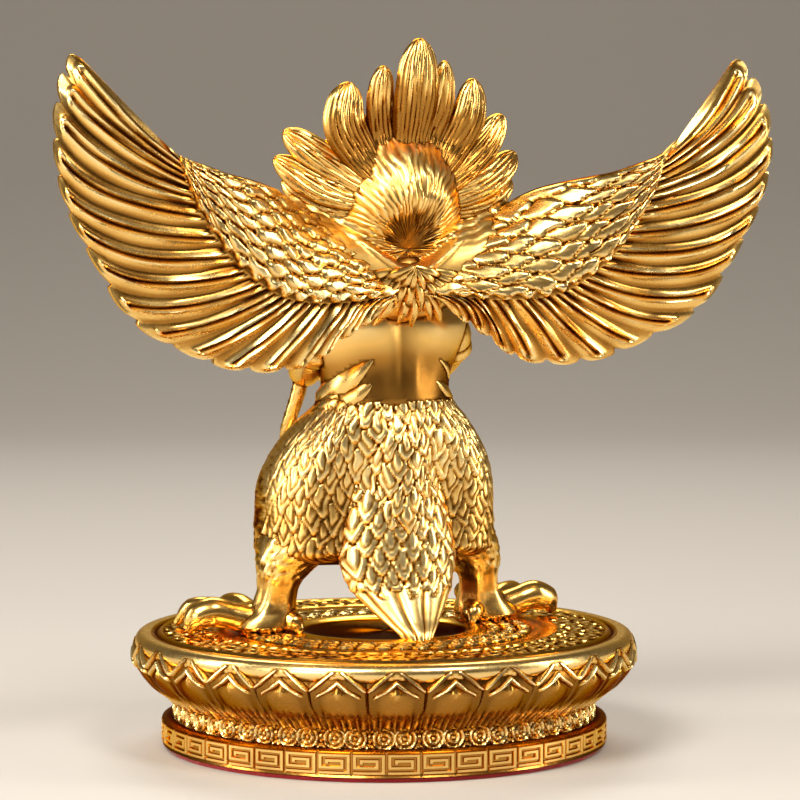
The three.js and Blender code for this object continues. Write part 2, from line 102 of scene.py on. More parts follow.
def read_at(values: tuple[float, ...], shares: Array) -> Array:
    """A short list read at shares of its length, in straight steps."""
    return np.interp(shares, np.linspace(0, 1, len(values)), values)


def ease(low: float, high: float, x: Array) -> Array:
    """0 up to low, 1 from high, and a smooth cubic step between."""
    t = np.clip((x - low) / (high - low), 0, 1)
    return t * t * (3 - 2 * t)


def between(start: float, full: float, last: float, end: float, x: Array) -> Array:
    """0 up to start, 1 from full to last, 0 from end, and a smooth cubic step on either side."""
    return ease(start, full, x) * ease(end, last, x)


def bump(x: Array, middle: float, width: float) -> Array:
    """A bell curve of height 1 at middle that has fallen to a third at width from it."""
    return np.exp(-(((x - middle) / width) ** 2))


def twin(x: Array, middle: float, width: float) -> Array:
    """Two such bell curves, at middle and at minus middle."""
    return bump(x, middle, width) + bump(x, -middle, width)


def circle(count: int) -> Array:
    """Angles in even steps once round, as a row."""
    return np.linspace(0, TURN, count, endpoint=False)[None, :]


def angle_from(way: float, angle: Array) -> Array:
    """Angles measured from a direction, from minus half a turn to half a turn."""
    return np.angle(np.exp(1j * (angle - way)))


def around_axis(reach: Array, angle: Array, level: Array) -> Array:
    """Points at a reach from the axis, an angle from the figure's left, and a level."""
    return np.stack(np.broadcast_arrays(reach * np.cos(angle), reach * np.sin(angle), level), axis=-1)


def ellipsoid(rise: Array, angle: Array) -> Array:
    """Points of a unit sphere, with rise 0 at its lower pole and half a turn at its upper."""
    return around_axis(np.sin(rise), angle, -np.cos(rise))


def unit(vectors: Array) -> Array:
    """Vectors along the last axis, made one long."""
    return vectors / np.maximum(np.linalg.norm(vectors, axis=-1, keepdims=True), 1e-9)


def painted_relief_shading(relief: Array, reach: int, gain: Array | float) -> Array:
    """How far relief stands above its surroundings, as a tone of painted shade from 0 in hollows to
    painted highlight at 1 on crests.

    The relief less its own average over a square of 2 * reach + 1 grid steps, times the gain,
    around 0.55.

    Args:
        relief: heights on a grid, in millimetres.
        reach: half the side of the square, in grid steps.
        gain: tone for each millimetre.

    Returns:
        The tones, of the relief's shape.
    """
    mean = relief
    for axis in (0, 1):
        steps = [np.roll(mean, step, axis) for step in range(-reach, reach + 1)]
        mean = np.mean(steps, axis=0)
    # painted shade in hollows and painted highlight on crests, from the relief alone
    return np.clip(0.55 + gain * (relief - mean), 0.03, 1)


@dataclass(frozen=True)
class ScaleStyle:
    """How a field of overlapping scales is carved, in shares of one scale.

    A scale runs from its root, under the row before, over `length` rows to its tip. Its outline
    is where across^power + along^power reaches 1: power 1 gives a diamond, 2 a round end.
    """

    length: float = 1.65
    power: float = 1.35
    shoulder: float = 0.42
    tilt: float = 0.55
    rim: float = 0.35
    core: float = 0.3
    core_width: float = 0.4
    uneven: float = 0.0
    groove: float = 0.0

    def carve(self, across: Array, along: Array) -> Array:
        """Height of the scales, from 0 at the ground to about 1 on a tip.

        Each point asks the scale that starts in its own row first, and then the one of the row
        before, whose tip lies over it: height = tilt * share of the way to the tip, plus a rim
        just inside the outline, a core in the middle and a groove around it. Odd rows are set
        off by half a scale, and scales differ in length and height by up to half of `uneven`
        either way, by the fraction of sin(a * row + b * number) * c.

        Args:
            across: place across the rows, one scale to a unit.
            along: place down the rows, one row to a unit.

        Returns:
            The heights.
        """
        row = np.floor(along)
        height = np.zeros(np.broadcast(across, along).shape)
        for back in (0, 1):
            start = row - back
            shifted = across - 0.5 * np.mod(start, 2)
            number = np.round(shifted)
            dice = np.mod(np.sin(12.9898 * start + 78.233 * number) * 43758.5453, 1)
            chance = self.uneven * (dice - 0.5)
            side = 2 * np.abs(shifted - number)
            share = (along - start) / (self.length * (1 + 0.5 * chance))
            end = np.clip((share - self.shoulder) / (1 - self.shoulder), 0, 2)
            edge = (side**self.power + end**self.power) ** (1 / self.power)
            top = self.tilt * (share + chance) + self.rim * bump(edge, 0.76, 0.15)
            top = top + self.core * (1 - ease(self.core_width - 0.16, self.core_width + 0.1, edge))
            height = height + (top - height) * (1 - ease(0.9, 1.02, edge))
            height = height - self.groove * bump(edge, 1.03, 0.08)
        return height


@dataclass
class Shell:
    """A closed skin through rings of points, with a fan at each end.

    rings has the shape (rings, points in a ring, 3) in millimetres. tone is painted light and shade,
    0 in hollows and 1 on crests, and gloss is 0 for satin plate and 1 for a mirror.
    """

    rings: Array
    # tone: painted shade where low, painted highlight where high
    tone: Array | float = 0.6
    gloss: Array | float = 0.3

    def spread(self, values: Array | float) -> Array:
        """Values for the rings as one list for all points, with the two poles at its end."""
        full = np.broadcast_to(values, self.rings.shape[:2])
        return np.concatenate([full.ravel(), [full[0].mean(), full[-1].mean()]]).astype(np.float32)

    def corners(self) -> tuple[Array, list]:
        """Points and faces of the skin, with the faces turned outwards.

        The volume under every face, a third of its area times its distance along its normal,
        has a sum above 0 when the faces point out; otherwise each face is turned over.

        Returns:
            The points, and the faces as lists of point numbers.
        """
        count, size = self.rings.shape[:2]
        points = self.rings.reshape(-1, 3)
        ends = np.stack([self.rings[0].mean(axis=0), self.rings[-1].mean(axis=0)])
        points = np.vstack([points, ends])
        row = np.arange(count - 1)[:, None] * size
        here = np.arange(size)[None, :]
        there = (here + 1) % size
        quads = np.stack([row + here, row + there, row + size + there, row + size + here], axis=-1)
        quads = quads.reshape(-1, 4)
        ring, after = here[0], there[0]
        first = np.stack([np.full(size, count * size), after, ring], axis=-1)
        last = (count - 1) * size
        final = np.stack([np.full(size, count * size + 1), last + ring, last + after], axis=-1)
        fans = np.vstack([first, final])
        cut = np.vstack([quads[:, [0, 1, 2]], quads[:, [0, 2, 3]], fans])
        a, b, c = (points[cut[:, i]] for i in range(3))
        if np.einsum("ij,ij->", a, np.cross(b, c)) < 0:
            quads, fans = quads[:, ::-1], fans[:, ::-1]
        return points, quads.tolist() + fans.tolist()


def frames_along(line: Stations | Array, shares: Array, towards: Place) -> tuple[Array, ...]:
    """The middle line of a limb, and three directions square to one another along it.

    Args:
        line: points of the middle line.
        shares: places along it from 0 to 1.
        towards: the direction that the depth keeps to.

    Returns:
        The points, and the directions along the line, across it and deep.
    """
    step = 0.004
    along = unit(smooth_curve(line, shares + step) - smooth_curve(line, shares - step))
    wide = unit(np.cross(along, np.asarray(towards)))
    return smooth_curve(line, shares), along, wide, np.cross(wide, along)


def limb(
    stations: Stations | Array,
    halves: tuple[float, ...],
    sides: int = 16,
    steps: int = 18,
    flat: float = 1.0,
    towards: Place = (0.0, 1.0, 0.01),
    relief: Array | None = None,
    gloss: float = 0.3,
) -> Shell:
    """A limb: rings across a smooth middle line.

    A ring's point = middle + half width * cos * sideways + half width * flat * sin * deep, where
    deep is square to the line and as near as it can be to the given direction. The ends are
    rounded off by rings that shrink as a circle does.

    Args:
        stations: points of the middle line.
        halves: half widths along it.
        sides: points in a ring.
        steps: rings along the line.
        flat: half depth as a share of the half width.
        towards: direction of the depth.
        relief: heights to add, of the shape (steps + 1, sides), or none.
        gloss: 0 for satin, 1 for a mirror.

    Returns:
        The closed skin.
    """
    shares = np.linspace(0, 1, steps + 1)
    middle, along, wide, deep = frames_along(stations, shares, towards)
    half = read_at(halves, shares)[:, None, None]
    angle = circle(sides)[..., None]
    lift = 0.0 if relief is None else relief[..., None]
    round_way = np.cos(angle) * wide[:, None] + flat * np.sin(angle) * deep[:, None]
    rings = middle[:, None] + (half + lift) * round_way
    turn = np.array([0.42, 0.8, 1.15])[:, None, None]
    caps = []
    for end, sign in ((0, -1), (-1, 1)):
        push = 0.7 * half[end] * np.sin(turn) * along[end]
        cap = middle[end] + push * sign + (rings[end] - middle[end]) * np.cos(turn)
        caps.append(cap[::sign])
    rings = np.concatenate([caps[0], rings, caps[1]])
    if relief is None:
        return Shell(rings, gloss=gloss)
    # the carved relief's tone is painted shade in its hollows and painted highlight on its crests
    return Shell(rings, np.pad(painted_relief_shading(relief, 2, 0.7), ((3, 3), (0, 0)), mode="edge"), gloss)


def ball(middle: Place, radii: Place, sides: int, steps: int, gloss: float = 0.3) -> Shell:
    """An egg: middle + radii times a unit sphere, in rings from pole to pole.

    Args:
        middle: its middle.
        radii: half its size along x, y and h.
        sides: points in a ring.
        steps: rings.
        gloss: 0 for satin, 1 for a mirror.

    Returns:
        The closed skin.
    """
    rise = np.linspace(0.03, np.pi - 0.03, steps + 1)[:, None]
    sphere = ellipsoid(rise, circle(sides))
    return Shell(np.asarray(middle) + np.asarray(radii) * sphere, gloss=gloss)


def on_side(stations: Stations, side: Side) -> Stations:
    """The left side's stations, for the right side mirrored."""
    return tuple((side * x, y, h) for x, y, h in stations)


@dataclass
class Wing:
    """One wing, carved with small coverts over the arm and long paired-rib feathers below them.

    Its stations run from the shoulder to the tip as pairs of x and h. A long feather leaves the
    coverts at its root, bends at its bow and ends at its tip. depth() says what the numbers of
    sweep, crest, camber and curl are, and root_nodes and tip_nodes are where the columns lie
    across a feather at its two ends, from -1 to 1.
    """

    side: Side
    covert_rows: float = 6.0
    covert_count: float = 11.5
    covert_style: ScaleStyle = ScaleStyle(
        length=1.75, power=1.7, shoulder=0.25, tilt=0.6, rim=0.1, core=0.14, core_width=0.6,
        uneven=0.3, groove=0.24,
    )
    covert_lift: float = 1.0
    covert_carving: float = 1.35
    lumps: bool = False
    feathers: int = 16
    root_nodes: tuple[float, ...] = (
        -1, -0.8, -0.66, -0.5, -0.36, -0.19, 0, 0.19, 0.36, 0.5, 0.66, 0.8,
    )
    tip_nodes: tuple[float, ...] = (
        -1, -0.68, -0.45, -0.33, -0.22, -0.11, 0, 0.11, 0.22, 0.33, 0.45, 0.68,
    )
    rib_offset: tuple[float, float] = (1.05, 1.25)
    rib_height: float = 0.62
    rib_width: float = 0.36
    groove_depth: float = 0.75
    seam_depth: float = 0.6
    lobe_depth: float = 0.09
    thickness: tuple[float, float] = (5.0, 2.0)
    rear: float = 29.0
    sweep: tuple[float, float, float] = (10.0, 58.0, 1.8)
    crest: tuple[float, float, float, float, float] = (83.7, 35.0, 30.0, 33.5, 1.4)
    camber: tuple[float, float, float, float] = (9.0, 28.0, 16.0, 20.0)
    curl: tuple[float, float, float] = (7.0, 118.7, 26.0)
    edge: Stations = (
        (1, 96), (6, 98), (12, 101), (19, 104.5), (26, 107), (34, 111.3), (42, 113.5), (50, 115),
        (56.5, 117), (61, 118.4), (63.5, 119.4),
    )
    root: Stations = (
        (2, 85), (10, 84.5), (18, 83.7), (27, 83.7), (34.5, 84.7), (40.5, 87.2), (47, 91.7),
        (53, 98.2), (58.5, 106.2), (61.5, 113), (63.5, 118.2),
    )
    bow: Stations = (
        (7, 84.5), (15.5, 83), (24, 76), (36, 74.2), (47.5, 74.7), (61, 77.7), (73, 85.7),
        (83, 97.7), (87.5, 110.7), (83, 122), (75, 126.5),
    )
    tip: Stations = (
        (10, 80), (18, 75), (28.8, 67.9), (43, 67), (59, 71.2), (75, 80.8), (85.5, 96.2),
        (92, 109.7), (94.2, 123.7), (92, 136.7), (87, 144.7),
    )

    def depth(self, x: Array, h: Array) -> Array:
        """How far back the wing lies at a place.

        The rear, less a sweep that fades from the shoulder out to a place, by a power; less a
        camber that grows with the square of the distance from the crest line, counted in a
        height, and fades outwards; less a forward curl that grows with the square of the height
        above a level. The crest line climbs from its level by a rise over a run, by a power.

        Args:
            x: sideways place.
            h: height.

        Returns:
            The depth, in millimetres behind the body's middle plane.
        """
        amount, end, power = self.sweep
        sweep = amount * (1 - np.clip(x, 0, end) / end) ** power
        level, rise, start, run, power = self.crest
        crest = level + rise * np.clip((x - start) / run, 0, 1) ** power
        amount, start, fade, height = self.camber
        camber = amount * np.exp((start - x) / fade) * ((h - crest) / height) ** 2
        amount, level, height = self.curl
        curl = amount * (np.clip(h - level, 0, None) / height) ** 2
        return self.rear - sweep - camber - curl

    def on_surface(self, across: Array, along: Array, lift: Array) -> Array:
        """Places on the wing.

        The place in x and h goes straight from edge to root over the coverts, and along a
        quadratic curve from root by bow to tip over the long feathers. The depth gives y, and
        lift moves the point along the surface's normal, found from the depth's slopes.

        Args:
            across: 0 at the shoulder to 1 at the wing's tip.
            along: 0 to 1 over the coverts, 1 to 2 over the long feathers.
            lift: height above the surface.

        Returns:
            The points, with the last axis x, y, h.
        """
        lines = (self.edge, self.root, self.bow, self.tip)
        edge, root, bow, tip = (smooth_curve(line, across) for line in lines)
        upper = edge + (root - edge) * along[..., None]
        lower = quadratic(root, bow, tip, (along - 1)[..., None])
        place = np.where(along[..., None] <= 1, upper, lower)
        x, h = place[..., 0], place[..., 1]
        reach = 0.5
        slope_x = (self.depth(x + reach, h) - self.depth(x - reach, h)) / (2 * reach)
        slope_h = (self.depth(x, h + reach) - self.depth(x, h - reach)) / (2 * reach)
        normal = unit(np.stack([-slope_x, np.ones_like(x), -slope_h], axis=-1))
        return np.stack([x, self.depth(x, h), h], axis=-1) + normal * lift[..., None]

    def feather_relief(self, side_way: Array, past: Array) -> Array:
        """Height of a long feather: two ribs with a narrow groove between, closed as a U.

        With d the distance from the feather's middle line in rib offsets, and past the distance
        beyond the groove's end, the height depends on sqrt(d^2 + past^2) alone: a rib where it is
        1, a groove where it is 0, and a shallow channel outside.

        Args:
            side_way: place across the feather in rib offsets.
            past: distance beyond the end of the groove in rib offsets, 0 before it.

        Returns:
            The heights in millimetres.
        """
        around = np.sqrt(side_way**2 + past**2)
        rib = self.rib_height * bump(around, 1, self.rib_width)
        groove = self.groove_depth * bump(around, 0, 0.42)
        channel = 0.28 * ease(1.3, 2.0, around)
        return rib - groove - channel

    def shell(self) -> Shell:
        """The wing's skin: one ring around the blade for every column from shoulder to tip.

        Returns:
            The closed skin.
        """
        nodes = len(self.root_nodes)
        feather, node = np.divmod(np.arange(self.feathers * nodes + 1), nodes)
        even = np.linspace(-1, 1, nodes, endpoint=False)[node]
        at_root, at_tip = np.array(self.root_nodes)[node], np.array(self.tip_nodes)[node]
        random = np.random.default_rng(7)
        jitter = random.uniform(-0.012, 0.012, self.feathers + 1)[feather]

        covert = np.concatenate([[0, 0.015, 0.035], np.linspace(0.06, 1.0, 52)])[None, :]
        down = np.concatenate([np.linspace(0, 0.8, 14), np.linspace(0.8, 1, 15)[1:]])[None, :]
        front = np.linspace(0.985, 0.02, 7)[None, :]

        span = (feather + 0.5)[:, None]
        over_coverts = (span + 0.5 * even[:, None] + 0 * covert) / self.feathers
        nodes_down = at_root[:, None] + (at_tip - at_root)[:, None] * down
        over_feathers = (span + 0.5 * nodes_down) / self.feathers
        lobe = 1 - np.sqrt(1 - np.minimum(np.abs(nodes_down)[:, -1:], 0.995) ** 2)
        end = 2 - self.lobe_depth * lobe + jitter[:, None]
        begin = 1.012
        along_down = begin + (end - begin) * down

        last = over_feathers[:, -1:]
        inner, outer = self.thickness
        thick = outer + (inner - outer) * (1 - last) ** 2
        rounding = 0.7 * ease(0.986, 1, last)

        along_coverts = covert + 0 * over_coverts
        lift_coverts = self.covert_relief(over_coverts, along_coverts, thick)
        lift_feathers = self.long_relief(over_feathers, along_down, nodes_down, feather)
        rows = [
            self.on_surface(over_coverts, along_coverts, lift_coverts - rounding),
            self.on_surface(over_feathers, along_down, lift_feathers - rounding),
            self.on_surface(last, end + 0.006, -0.35 * thick),
            self.on_surface(last, end + 0.002, -0.75 * thick),
        ]
        nodes_front = nodes_down[:, -1:] + (even[:, None] - nodes_down[:, -1:]) * (1 - front)
        across_front = (span + 0.5 * nodes_front) / self.feathers
        along_front = end * front
        long_part = ease(0.9, 1.1, along_front) * (1 - ease(1.8, 1.95, along_front))
        ribs = 0.25 * np.cos(np.pi * nodes_front) * long_part
        rows.append(self.on_surface(across_front, along_front, rounding - thick - ribs))
        rings = np.concatenate(rows, axis=1)
        back = np.concatenate([lift_coverts, lift_feathers], axis=1)
        # painted shade in the grooves and seams, painted highlight on the ribs and the coverts' crests;
        # the underside's tone is plain
        gain = np.concatenate([np.full(covert.size, 1.15), np.full(down.size, 0.85)])[None, :]
        plain = np.full((len(rings), rings.shape[1] - back.shape[1]), 0.55)
        tone = np.concatenate([painted_relief_shading(back, 3, gain), plain], axis=1)
        return Shell(rings * np.array([self.side, 1, 1]), tone)

    def covert_relief(self, across: Array, along: Array, thick: Array) -> Array:
        """Height of the coverts: overlapping scales that point to the wing's tip.

        They are carved on a plane of rows and places that wavers a little, and they fade out
        along the leading edge, at the shoulder, at the tip and at the wavy end of the last row.

        Args:
            across: 0 at the shoulder to 1 at the wing's tip.
            along: 0 at the leading edge to 1 at the last row.
            thick: the blade's thickness.

        Returns:
            The heights in millimetres.
        """
        down_rows = along * self.covert_rows
        out = across * self.covert_count
        waver = 0.12 * np.sin(2.3 * out + 1.1 * down_rows) + 0.05 * np.sin(6.1 * out - 2.7 * down_rows)
        scales = self.covert_style.carve(
            down_rows + waver - 0.15 * out, out + 0.35 * down_rows + 0.5 * waver,
        )
        shoulder, tip = ease(0.07, 0.12, across - 0.1 * (1 - along)), ease(0.9, 0.96, across)
        strength = ease(0.0, 0.1, along) * shoulder * (1 - tip)
        ends = 0.965 + 0.03 * np.cos(TURN * self.feathers * across)
        lift = self.covert_lift * ease(0.0, 0.4, along) + self.covert_carving * scales * strength
        lift = lift * (1 - ease(ends - 0.02, ends + 0.02, along))
        if self.lumps:
            places = bump(across, 0.3, 0.014) + bump(across, 0.37, 0.022)
            lift = lift + 1.6 * bump(along, 0.0, 0.1) * places
        return lift - 0.5 * thick * (1 - ease(-0.02, 0.05, along))

    def long_relief(self, across: Array, along: Array, node: Array, feather: Array) -> Array:
        """Height of the long feathers, with a slight step and a seam from each to the next.

        Ribs and groove keep their width in millimetres, so the place across a feather is counted
        in rib offsets. The groove wavers, and it ends a little before the tip.

        Args:
            across: 0 at the shoulder to 1 at the wing's tip.
            along: 1 at the coverts to 2 at the tips.
            node: place across the feather, from -1 to 1.
            feather: number of each column's feather.

        Returns:
            The heights in millimetres.
        """
        half = 0.5 / self.feathers
        middle = across - node * half
        lines = (self.root, self.tip)
        starts, ends = ([smooth_curve(line, middle + way) for line in lines] for way in (-half, half))
        at_root, at_tip = (np.linalg.norm(b - a, axis=-1) for a, b in zip(starts, ends))
        root, tip = (smooth_curve(line, middle) for line in lines)
        length = np.linalg.norm(tip - root, axis=-1)
        share = np.clip(along - 1, 0, 1)
        half_width = np.maximum(0.5 * (at_root + (at_tip - at_root) * share), 1.2)
        near, far = self.rib_offset
        offset = near + (far - near) * share
        random = np.random.default_rng(11)
        close = (1.875 + random.uniform(-0.025, 0.025, self.feathers + 1))[feather][:, None]
        past = np.clip((along - close) * length / offset, 0, None)
        number = feather[:, None]
        waver = 0.13 * np.sin(7 * share + 2.4 * number) * ease(0.05, 0.3, share)
        relief = self.feather_relief(node * half_width / offset + waver * (1 - node**2), past)
        relief = relief * (0.86 + 0.2 * np.sin(13 * share + 4.1 * number + 2.5 * node))
        step = -0.2 * node * ease(1.0, 1.3, along)
        relief = relief + 0.05 * np.sin(9 * share + 2.7 * number) * (1 + node)
        relief = relief - self.seam_depth * ease(0.6, 1.0, np.abs(node)) * ease(1.99, 1.93, along)
        strength = ease(0.0, 0.05, across) * ease(0.99, 1.03, along)
        return (relief + step) * strength - 0.3 * bump(along, 1.0, 0.02)


@dataclass
class Mane:
    """The head's furry ball in its collar, flame-like locks over it, and the nape's feathers.

    Ball and collar are one skin, whose hair runs in rays from a whorl at the ball's lower back.
    A row of the collar has the x and h of its outline, the share of the ray where its dip or rim
    is, the depth there, the depth at the outline, and the height of the rim. Ball and dish have
    a middle's x and h and half a width and height. A row of tufts has their count, where they
    start and end on their rays, half a width, and the widest ray in degrees. The egg under them
    has its middle and its radii.
    """

    whorl: tuple[float, float] = (0.5, 96.0)
    dish: tuple[float, float, float, float] = (0.5, 100.6, 6.4, 5.6)
    ball: tuple[float, float, float, float] = (0.5, 108.7, 15.0, 16.4)
    ball_back: float = 25.5
    ball_curve: float = 11.5
    throat: float = 14.0
    melt: float = 11.0
    collar: Stations = (
        (0, 85, 0.45, 21, 19.4, 1), (8, 87, 0.47, 20.8, 21.2, 1), (15, 92, 0.5, 19.8, 20.6, 1),
        (22, 97, 0.5, 18.2, 19.6, 0.8), (27.5, 102.5, 0.55, 15.6, 17.0, 0.25),
        (29, 108, 0.6, 12.8, 11.4, 0), (27.5, 113.8, 0.62, 12, 9.4, 0), (22, 121, 0.62, 12, 11.5, 0),
        (13.5, 128.0, 0.6, 12.6, 15, 0), (0, 131.5, 0.58, 13, 17.2, 0),
    )
    strands: int = 66
    lines: tuple[Stations, ...] = (
        ((11.6, 14.6, 105.8), (18.3, 12.8, 106.8), (24.0, 10.8, 109.0), (30.0, 7.8, 113.4)),
        ((10.8, 16.2, 108.0), (16.6, 14.0, 109.2), (23.0, 11.6, 112.0), (32.2, 7.8, 118.6)),
        ((9.6, 17.8, 110.4), (15.7, 14.6, 114.6), (22.8, 12.4, 119.4), (30.4, 9.8, 125.2)),
        ((7.4, 19.6, 112.0), (12.4, 15.2, 119.4), (17.4, 17.0, 127.0), (16.6, 18.0, 137.0)),
        ((4.4, 20.4, 113.2), (6.1, 15.6, 122.8), (8.4, 19.0, 131.2), (8.4, 21.4, 140.6)),
        ((0.8, 21.2, 113.4), (-0.4, 16.2, 122.8), (0.0, 20.5, 134.2), (-0.2, 22.5, 147.6)),
        ((-2.7, 20.4, 113.4), (-6.2, 15.6, 122.8), (-7.7, 19.2, 131.6), (-7.7, 21.6, 142.0)),
        ((-5.4, 19.6, 112.0), (-11.8, 15.2, 120.2), (-15.2, 17.6, 128.4), (-16.0, 18.6, 138.0)),
        ((-7.9, 17.8, 110.2), (-16.3, 14.6, 116.0), (-22.3, 13.5, 122.2), (-27.0, 12.2, 129.2)),
        ((-8.8, 16.2, 107.6), (-17.6, 14.0, 110.3), (-25.3, 11.2, 114.0), (-32.4, 7.8, 119.4)),
        ((-9.6, 14.6, 105.4), (-19.1, 12.8, 106.4), (-26.0, 10.6, 109.0), (-31.4, 7.8, 113.4)),
    )
    halves: Stations = (
        (2.4, 3.1, 3.5, 2.6), (2.6, 3.5, 4.1, 3.0), (2.6, 3.6, 4.2, 2.9), (2.8, 4.8, 5.6, 3.7),
        (2.2, 3.5, 3.7, 2.8), (3.0, 4.6, 5.7, 4.1), (2.1, 3.2, 3.4, 2.3), (2.5, 4.1, 4.6, 3.0),
        (2.6, 3.6, 4.1, 2.6), (2.5, 3.7, 4.1, 2.8), (2.4, 3.1, 3.5, 2.6),
    )
    ribs: tuple[int, ...] = (5, 6, 6, 9, 6, 9, 5, 7, 6, 6, 5)
    lift: tuple[float, ...] = (-0.6, 0.2, -0.3, 0.5, -0.5, 0.7, -0.4, 0.4, -0.3, 0.2, -0.6)
    thickness: float = 3.0
    nape: tuple[float, float] = (0.8, 92.0)
    nape_egg: tuple[Place, Place] = ((0, 7.5, 87.5), (15.5, 11.3, 11))
    tufts: Stations = ((7, 0.3, 6.5, 1.0, 66), (11, 4.0, 10.6, 1.15, 76), (14, 7.8, 14.8, 1.1, 74))

    def shell(self) -> Shell:
        """The skin of ball and collar: rings round the whorl, out to the outline and back in front.

        The depth is a soft maximum, (a + b + sqrt((a - b)^2 + melt)) / 2, of the ball, a
        paraboloid, and the collar, which eases from the throat to its dip and on to its outline.
        Hair is added to it, and over the whorl there is a sunk dish with a ragged edge, dark with
        painted shade.

        Returns:
            The closed skin.
        """
        half = smooth_curve(self.collar, np.linspace(0, 1, 400))
        other = half[::-1] * np.array([-1, 1, 1, 1, 1, 1])
        loop = np.concatenate([half, other[1:-1]])
        start = np.array(self.whorl)
        turn = np.unwrap(np.arctan2(loop[:, 0] - start[0], start[1] - loop[:, 1]))
        angle = np.linspace(turn[0], turn[0] + TURN, 4 * self.strands, endpoint=False)
        turn, loop = np.append(turn, turn[0] + TURN), np.vstack([loop, loop[:1]])
        rows = np.stack([np.interp(angle, turn, loop[:, i]) for i in range(6)], axis=-1)
        outline = rows[:, :2]
        rim_share, rim_depth, end, rim = (rows[:, i : i + 1] for i in range(2, 6))
        back = np.concatenate([np.linspace(0.03, 0.94, 33), [0.965, 0.985, 1.0]])[None, :]
        front = np.array([0.98, 0.9, 0.6, 0.3, 0.1])[None, :]
        share = np.concatenate([back, front], axis=1)
        bend = start + (outline - start) * 0.5 + np.array([0, 1.6]) * (1 - rim)
        place = quadratic(start, bend[:, None], outline[:, None], share[..., None])
        x, h = place[..., 0], place[..., 1]
        field = self.throat + (rim_depth - self.throat) * ease(0.5 * rim_share, rim_share, share)
        field = field + (end - rim_depth) * ease(rim_share, 1, share)
        middle_x, middle_h, wide, tall = self.ball
        from_ball = ((x - middle_x) / wide) ** 2 + ((h - middle_h) / tall) ** 2
        ball = self.ball_back - self.ball_curve * from_ball
        depth = (field + ball + np.sqrt((field - ball) ** 2 + self.melt)) / 2
        from_whorl = np.hypot(x - start[0], h - start[1])
        relief = self.hair(angle[:, None], from_whorl, share, rim_share, rim)
        behind = back.shape[1]
        dish_x, dish_h, dish_wide, dish_tall = self.dish
        from_dish = np.hypot((x - dish_x) / dish_wide, (h - dish_h) / dish_tall)
        strand = np.round(self.strands * angle / TURN)[:, None]
        ragged = 1 + 0.16 * np.sin(2.4 * strand + 0.7 * strand**2)
        dish = 1 - ease(ragged - 0.2, ragged + 0.12, from_dish)
        depth = depth - 2.2 * bump(from_dish, 0, 1.1) - 0.7 * dish
        depth[:, :behind] += (relief - 1.0 * ease(0.92, 1.02, share) ** 2)[:, :behind]
        depth[:, behind:] = field[:, behind:] - np.array([0.6, 0.95, 1, 1, 1])[None, :] * self.thickness
        fan = np.abs(np.cos(0.25 * np.pi * self.strands * angle / TURN))[:, None] ** 0.7
        depth[:, behind:] -= 0.9 * fan * np.array([0.3, 1, 1, 0.7, 0])
        points = np.stack([x, depth, h], axis=-1).transpose(1, 0, 2)
        tone = np.full(points.shape[:2], 0.5)
        # painted shade: dark in the dish over the whorl and a little darker beyond the rim; the hair's
        # grooves get painted shade and its strands painted highlight
        shade = 1 - 0.82 * dish - 0.12 * rim * ease(rim_share, rim_share + 0.15, share)
        tone[:behind] = (painted_relief_shading(relief[:, :behind].T, 2, 0.8) * shade[:, :behind].T).clip(0.03, 1)
        gloss = np.full(points.shape[:2], 0.2)
        gloss[:behind] = (0.2 - 0.2 * self.on_rim(share, rim_share, rim)).T[:behind]
        return Shell(points, tone, gloss)

    def on_rim(self, share: Array, rim_share: Array, rim: Array) -> Array:
        """0 on the hair, and the height of the rim on it and outside it."""
        return rim * ease(rim_share - 0.16, rim_share - 0.04, share)

    def hair(self, angle: Array, run: Array, share: Array, rim_share: Array, rim: Array) -> Array:
        """The hair's height: round strands with narrow grooves, and the smooth rim of the nape.

        A strand's height is |cos|^0.7 of its place across, which wavers a little along the ray,
        and it swells and sinks along its run.

        Args:
            angle: the ray's angle.
            run: distance from the whorl.
            share: 0 at the whorl to 1 at the outline.
            rim_share: where the rim is on a ray.
            rim: 1 where there is a rim and 0 where there is none.

        Returns:
            The heights in millimetres.
        """
        waver = 0.3 * np.sin(0.45 * run + 5 * np.sin(3 * angle)) + 0.16 * np.sin(1.1 * run + 9 * angle)
        place = self.strands * angle / TURN + waver
        strand = np.round(place)
        round_tops = np.abs(np.cos(np.pi * place)) ** 0.7
        swell = 0.78 + 0.22 * np.sin(0.9 * run + 2.1 * strand + 0.05 * strand**2)
        amount = ease(1.5, 6, run) * (1 - self.on_rim(share, rim_share, rim))
        return 0.85 * (round_tops * swell - 0.5) * amount + 0.75 * rim * bump(share, rim_share, 0.055)

